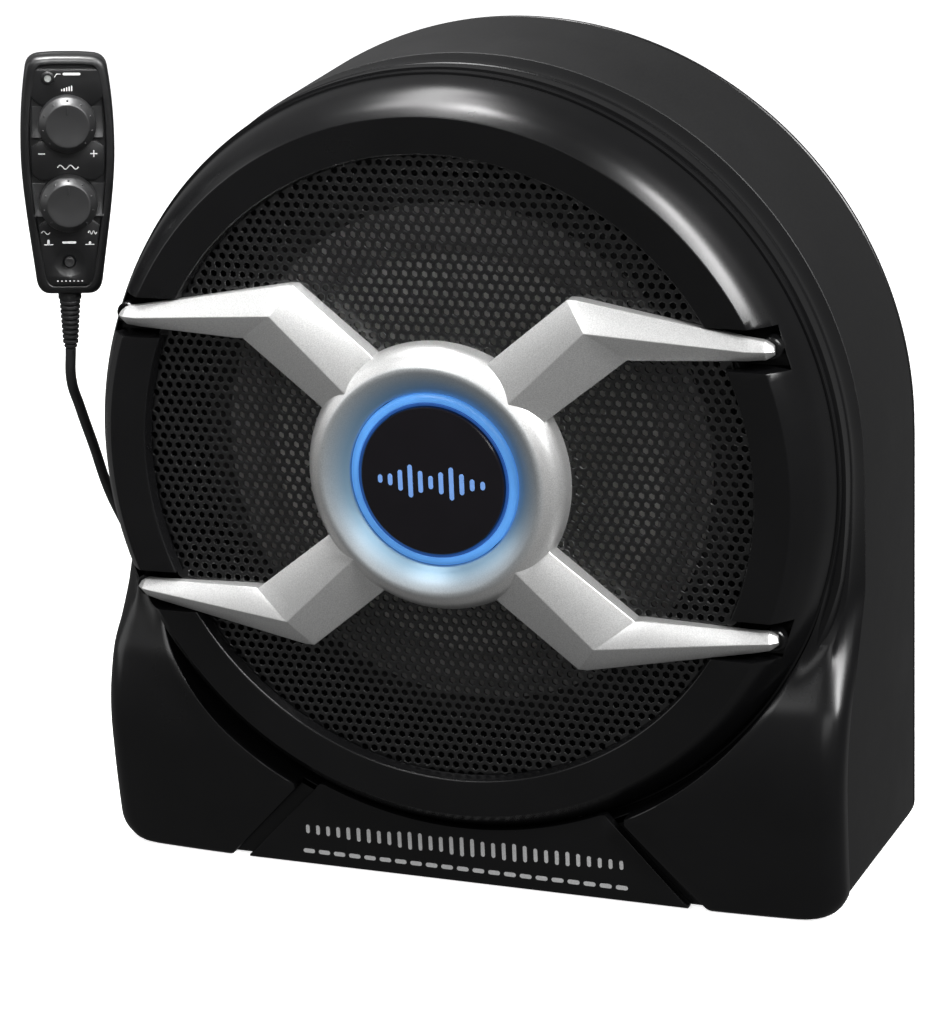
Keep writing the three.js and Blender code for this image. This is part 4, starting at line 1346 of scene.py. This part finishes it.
# ---- driver ----
def radial_blend(obj, outer_r, inner_r):
    """Bends a ring between the frame, at its rim, and the moving cone."""
    start = HUB + Vector((outer_r, 0, 0)) * MM
    end = HUB + Vector((inner_r, 0, 0)) * MM
    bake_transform(obj, "cabinet", "cone_assembly", start=tuple(start), end=tuple(end))
    shares = obj.data.attributes["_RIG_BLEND"].data
    for vertex, share in zip(obj.data.vertices, shares):
        radius = hypot(vertex.co.x - HUB.x, vertex.co.z - HUB.z) / MM
        share.value = smooth_step(outer_r - radius, 0, outer_r - inner_r)


def surround():
    """The rubber half roll between the cone and the frame."""
    centre = 83
    arc = [pi * i / 14 for i in range(15)]
    front = [(centre + 5.6 * cos(a), 22.9 - 5.6 * sin(a)) for a in arc]
    back = [(centre + 4.7 * cos(a), 23.7 - 4.7 * sin(a)) for a in reversed(arc)]
    profile = [(93.5, 23.9), (93.5, 22.9), *front, (75.5, 22.9), (75.5, 23.9), *back]
    body = Solid()
    ring = body.turned(profile, 128).made("surround_roll", ROLL, smooth_angle=50)
    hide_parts("surround")
    radial_blend(ring, 88.5, 77.5)


def spider():
    """The pleated cloth that centres the voice coil."""
    outer, inner, waves, steps = 55.5, 20.7, 6, 48
    front = []
    for i in range(steps + 1):
        r = inner + (outer - inner) * i / steps
        front.append((r, 51.2 + 0.75 * cos(tau * waves * i / steps) - 0.3))
    profile = front + [(r, y + 0.5) for r, y in reversed(front)]
    body = Solid()
    ring = body.turned(profile, 72).made("spider_cloth", CLOTH, smooth_angle=60)
    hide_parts("spider")
    radial_blend(ring, 54, 22)


def cone():
    """A shallow curved cone with pressed rings and its dust cap."""
    steps = 26
    front = []
    for i in range(steps + 1):
        t = i / steps
        r = 20.7 + (77 - 20.7) * t
        y = 47.6 - 23.4 * (t ** 1.12) - 0.9 * sin(pi * t)
        for ring_r in (40, 52, 64):
            y -= 0.35 * exp(-(((r - ring_r) / 0.9) ** 2))
        front.append((r, y))
    profile = front + [(r, y + 1.1) for r, y in reversed(front)]
    body = Solid()
    sheet = body.turned(profile, 128).made("cone_sheet", PAPER, smooth_angle=50)
    fitted(sheet, "cone_grey", "cone", body="cone_assembly")
    arc = [pi / 2 * i / 12 for i in range(13)]
    dome = [(26.9 * sin(a), 45.2 - 12.6 * cos(a)) for a in arc]
    inside = [(max(r - 0.9, 0), y + 1.0) for r, y in reversed(dome)]
    cap = Solid()
    cap.domed(dome + inside, 96)
    cap = cap.made("dust_cap_dome", PAPER, smooth_angle=50)
    fitted(cap, "cone_grey", "dust_cap", body="cone_assembly")


surround()
spider()
cone()


# ---- the back ----
def jack_collars():
    """Coloured rings round the two phono sockets."""
    for node, material in (("input_jack_1", RED_RING), ("input_jack_2", WHITE_RING)):
        low, high = hub_box(node)
        front, back = low.y - 0.3, low.y + 0.9
        profile = eased([(6.4, front, 0), (8.2, front, 0), (8.2, back, 0.4), (6.4, back, 0.3)], 3)
        body = Solid()
        body.turned(profile, 64, (low.x + high.x) / 2, (low.z + high.z) / 2)
        fitted(body.made(f"{node}_collar", material), "satin_black")


def panel_marks():
    """Plain ticks beside the rear connections, in place of words."""
    face = hub_box("connection_panel")[1].y
    body = Solid()
    marks = (
        (-58, -104, -42, -104), (-34, -109, 4, -109), (42, -112, 60, -112), (17, -109, 31, -109),
        (-29, -111.5, -26, -111.5), (-16.5, -111.5, -13.5, -111.5), (-4, -111.5, -1, -111.5),
    )
    for x0, z0, x1, z1 in marks:
        rounded_bar(body, x0, z0, x1, z1, 0.7, face - 0.1, face + 0.05)
    fitted(body.made("connection_marks", WHITE_PRINT), "silver")


jack_collars()
panel_marks()


# ---- carried-over CAD ----
CAD_MATERIALS = {
    ENAMEL: ("driver_basket", "driver_screw"),
    RUBBER: ("surround",),
    PAPER: ("cone", "dust_cap"),
    CLOTH: ("spider",),
    PLATED: ("top_plate", "back_plate", "gain_control", "frequency_control", "rear_screw"),
    FERRITE: ("magnet",),
    COPPER: ("voice_coil", "toroid_coil"),
    CIRCUIT: ("amplifier_board", "led_board", "control_board"),
    ALUMINIUM: ("rear_cooler",),
    FUSE: ("fuse",),
    LAMP: ("power_lamp",),
    CORD: ("control_plug",),
    CAN: ("phase_switch", "capacitor"),
    BRASS: ("terminal_screw", "input_jack"),
}


def cad_material(node):
    """The material of a CAD node, by how its name starts."""
    for material, starts in CAD_MATERIALS.items():
        if node.startswith(starts):
            return material
    return MOULDED


def smoothing_group():
    """A modifier that shades a mesh smooth and keeps its real edges sharp."""
    group = bpy.data.node_groups.new("smooth_by_edge", "GeometryNodeTree")
    group.interface.new_socket("Geometry", in_out="INPUT", socket_type="NodeSocketGeometry")
    group.interface.new_socket("Geometry", in_out="OUTPUT", socket_type="NodeSocketGeometry")
    start = group.nodes.new("NodeGroupInput")
    end = group.nodes.new("NodeGroupOutput")
    faces = group.nodes.new("GeometryNodeSetShadeSmooth")
    faces.domain = "FACE"
    edges = group.nodes.new("GeometryNodeSetShadeSmooth")
    edges.domain = "EDGE"
    fill(edges, {"Shade Smooth": False})
    angle = group.nodes.new("GeometryNodeInputMeshEdgeAngle")
    sharp = group.nodes.new("FunctionNodeCompare")
    sharp.operation = "GREATER_THAN"
    fill(sharp, {"B": radians(34)})
    link = group.links.new
    link(start.outputs[0], faces.inputs["Geometry"])
    link(faces.outputs[0], edges.inputs["Geometry"])
    link(angle.outputs["Unsigned Angle"], sharp.inputs["A"])
    link(sharp.outputs["Result"], edges.inputs["Selection"])
    link(edges.outputs[0], end.inputs[0])
    return group


SMOOTHING = smoothing_group()


def dress_cad_nodes():
    for name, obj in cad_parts.items():
        if obj.hide_render:
            continue
        obj.data.materials.clear()
        obj.data.materials.append(cad_material(name))
        obj.modifiers.new("smooth", "NODES").node_group = SMOOTHING


dress_cad_nodes()


# ---- floor and light ----
def studio():
    """A pale floor that melts into white, which only the camera sees."""
    mesh = bpy.data.meshes.new("floor")
    half = 12.0
    corners = [(-half, -half, 0), (half, -half, 0), (half, half, 0), (-half, half, 0)]
    mesh.from_pydata(corners, [], [(0, 1, 2, 3)])
    floor = linked("floor", mesh)
    paint = Finish("pale_floor", (0.92, 0.92, 0.92), 0.9, specular=0.1).glow((1, 1, 1), 0.8)
    mesh.materials.append(paint.material)
    floor.location.z = -0.0002
    floor.visible_glossy = floor.visible_diffuse = False

    world = bpy.data.worlds.new("studio")
    bpy.context.scene.world = world
    world.use_nodes = True
    tree = world.node_tree
    output = next(n for n in tree.nodes if n.type == "OUTPUT_WORLD")
    ambient = next(n for n in tree.nodes if n.type == "BACKGROUND")
    fill(ambient, {"Color": (1, 1, 1, 1), "Strength": 0.16})
    white = tree.nodes.new("ShaderNodeBackground")
    fill(white, {"Color": (1, 1, 1, 1), "Strength": 1.05})
    rays = tree.nodes.new("ShaderNodeLightPath")
    mix = tree.nodes.new("ShaderNodeMixShader")
    link = tree.links.new
    link(rays.outputs["Is Camera Ray"], mix.inputs[0])
    link(ambient.outputs[0], mix.inputs[1])
    link(white.outputs[0], mix.inputs[2])
    link(mix.outputs[0], output.inputs["Surface"])


def lamp(name, direction, distance, width, height, power, target=(0, 0, 0.16), spread=180):
    """A soft box at a distance along a direction from the point that it faces."""
    data = bpy.data.lights.new(name, "AREA")
    data.shape = "RECTANGLE"
    data.size, data.size_y = width, height
    data.energy = power
    data.spread = radians(spread)
    obj = linked(name, data)
    obj.location = Vector(target) + Vector(direction).normalized() * distance
    obj.rotation_euler = (Vector(target) - obj.location).to_track_quat("-Z", "Y").to_euler()
    obj.visible_camera = False


studio()
lamp("key", (0.70, -0.30, 0.66), 1.6, 0.30, 1.0, 36)
lamp("overhead", (-0.34, 0.14, 0.90), 1.7, 0.9, 0.35, 13)
lamp("front_left", (-0.30, -0.66, 0.68), 2.1, 0.8, 0.5, 8)
lamp("front_right", (0.46, -0.84, 0.42), 2.3, 1.3, 0.7, 6)
lamp("left_fill", (-0.9, -0.30, 0.35), 2.4, 1.3, 1.3, 8)
CONTROL_BOX = (-0.152, -0.03, 0.255)
lamp("control_front", (0.40, -0.72, 0.56), 0.5, 0.14, 0.12, 0.085, CONTROL_BOX, 40)
lamp("control_top", (0.06, -0.12, 1.0), 0.45, 0.2, 0.12, 0.55, CONTROL_BOX, 50)
bpy.context.scene.view_settings.view_transform = "Standard"
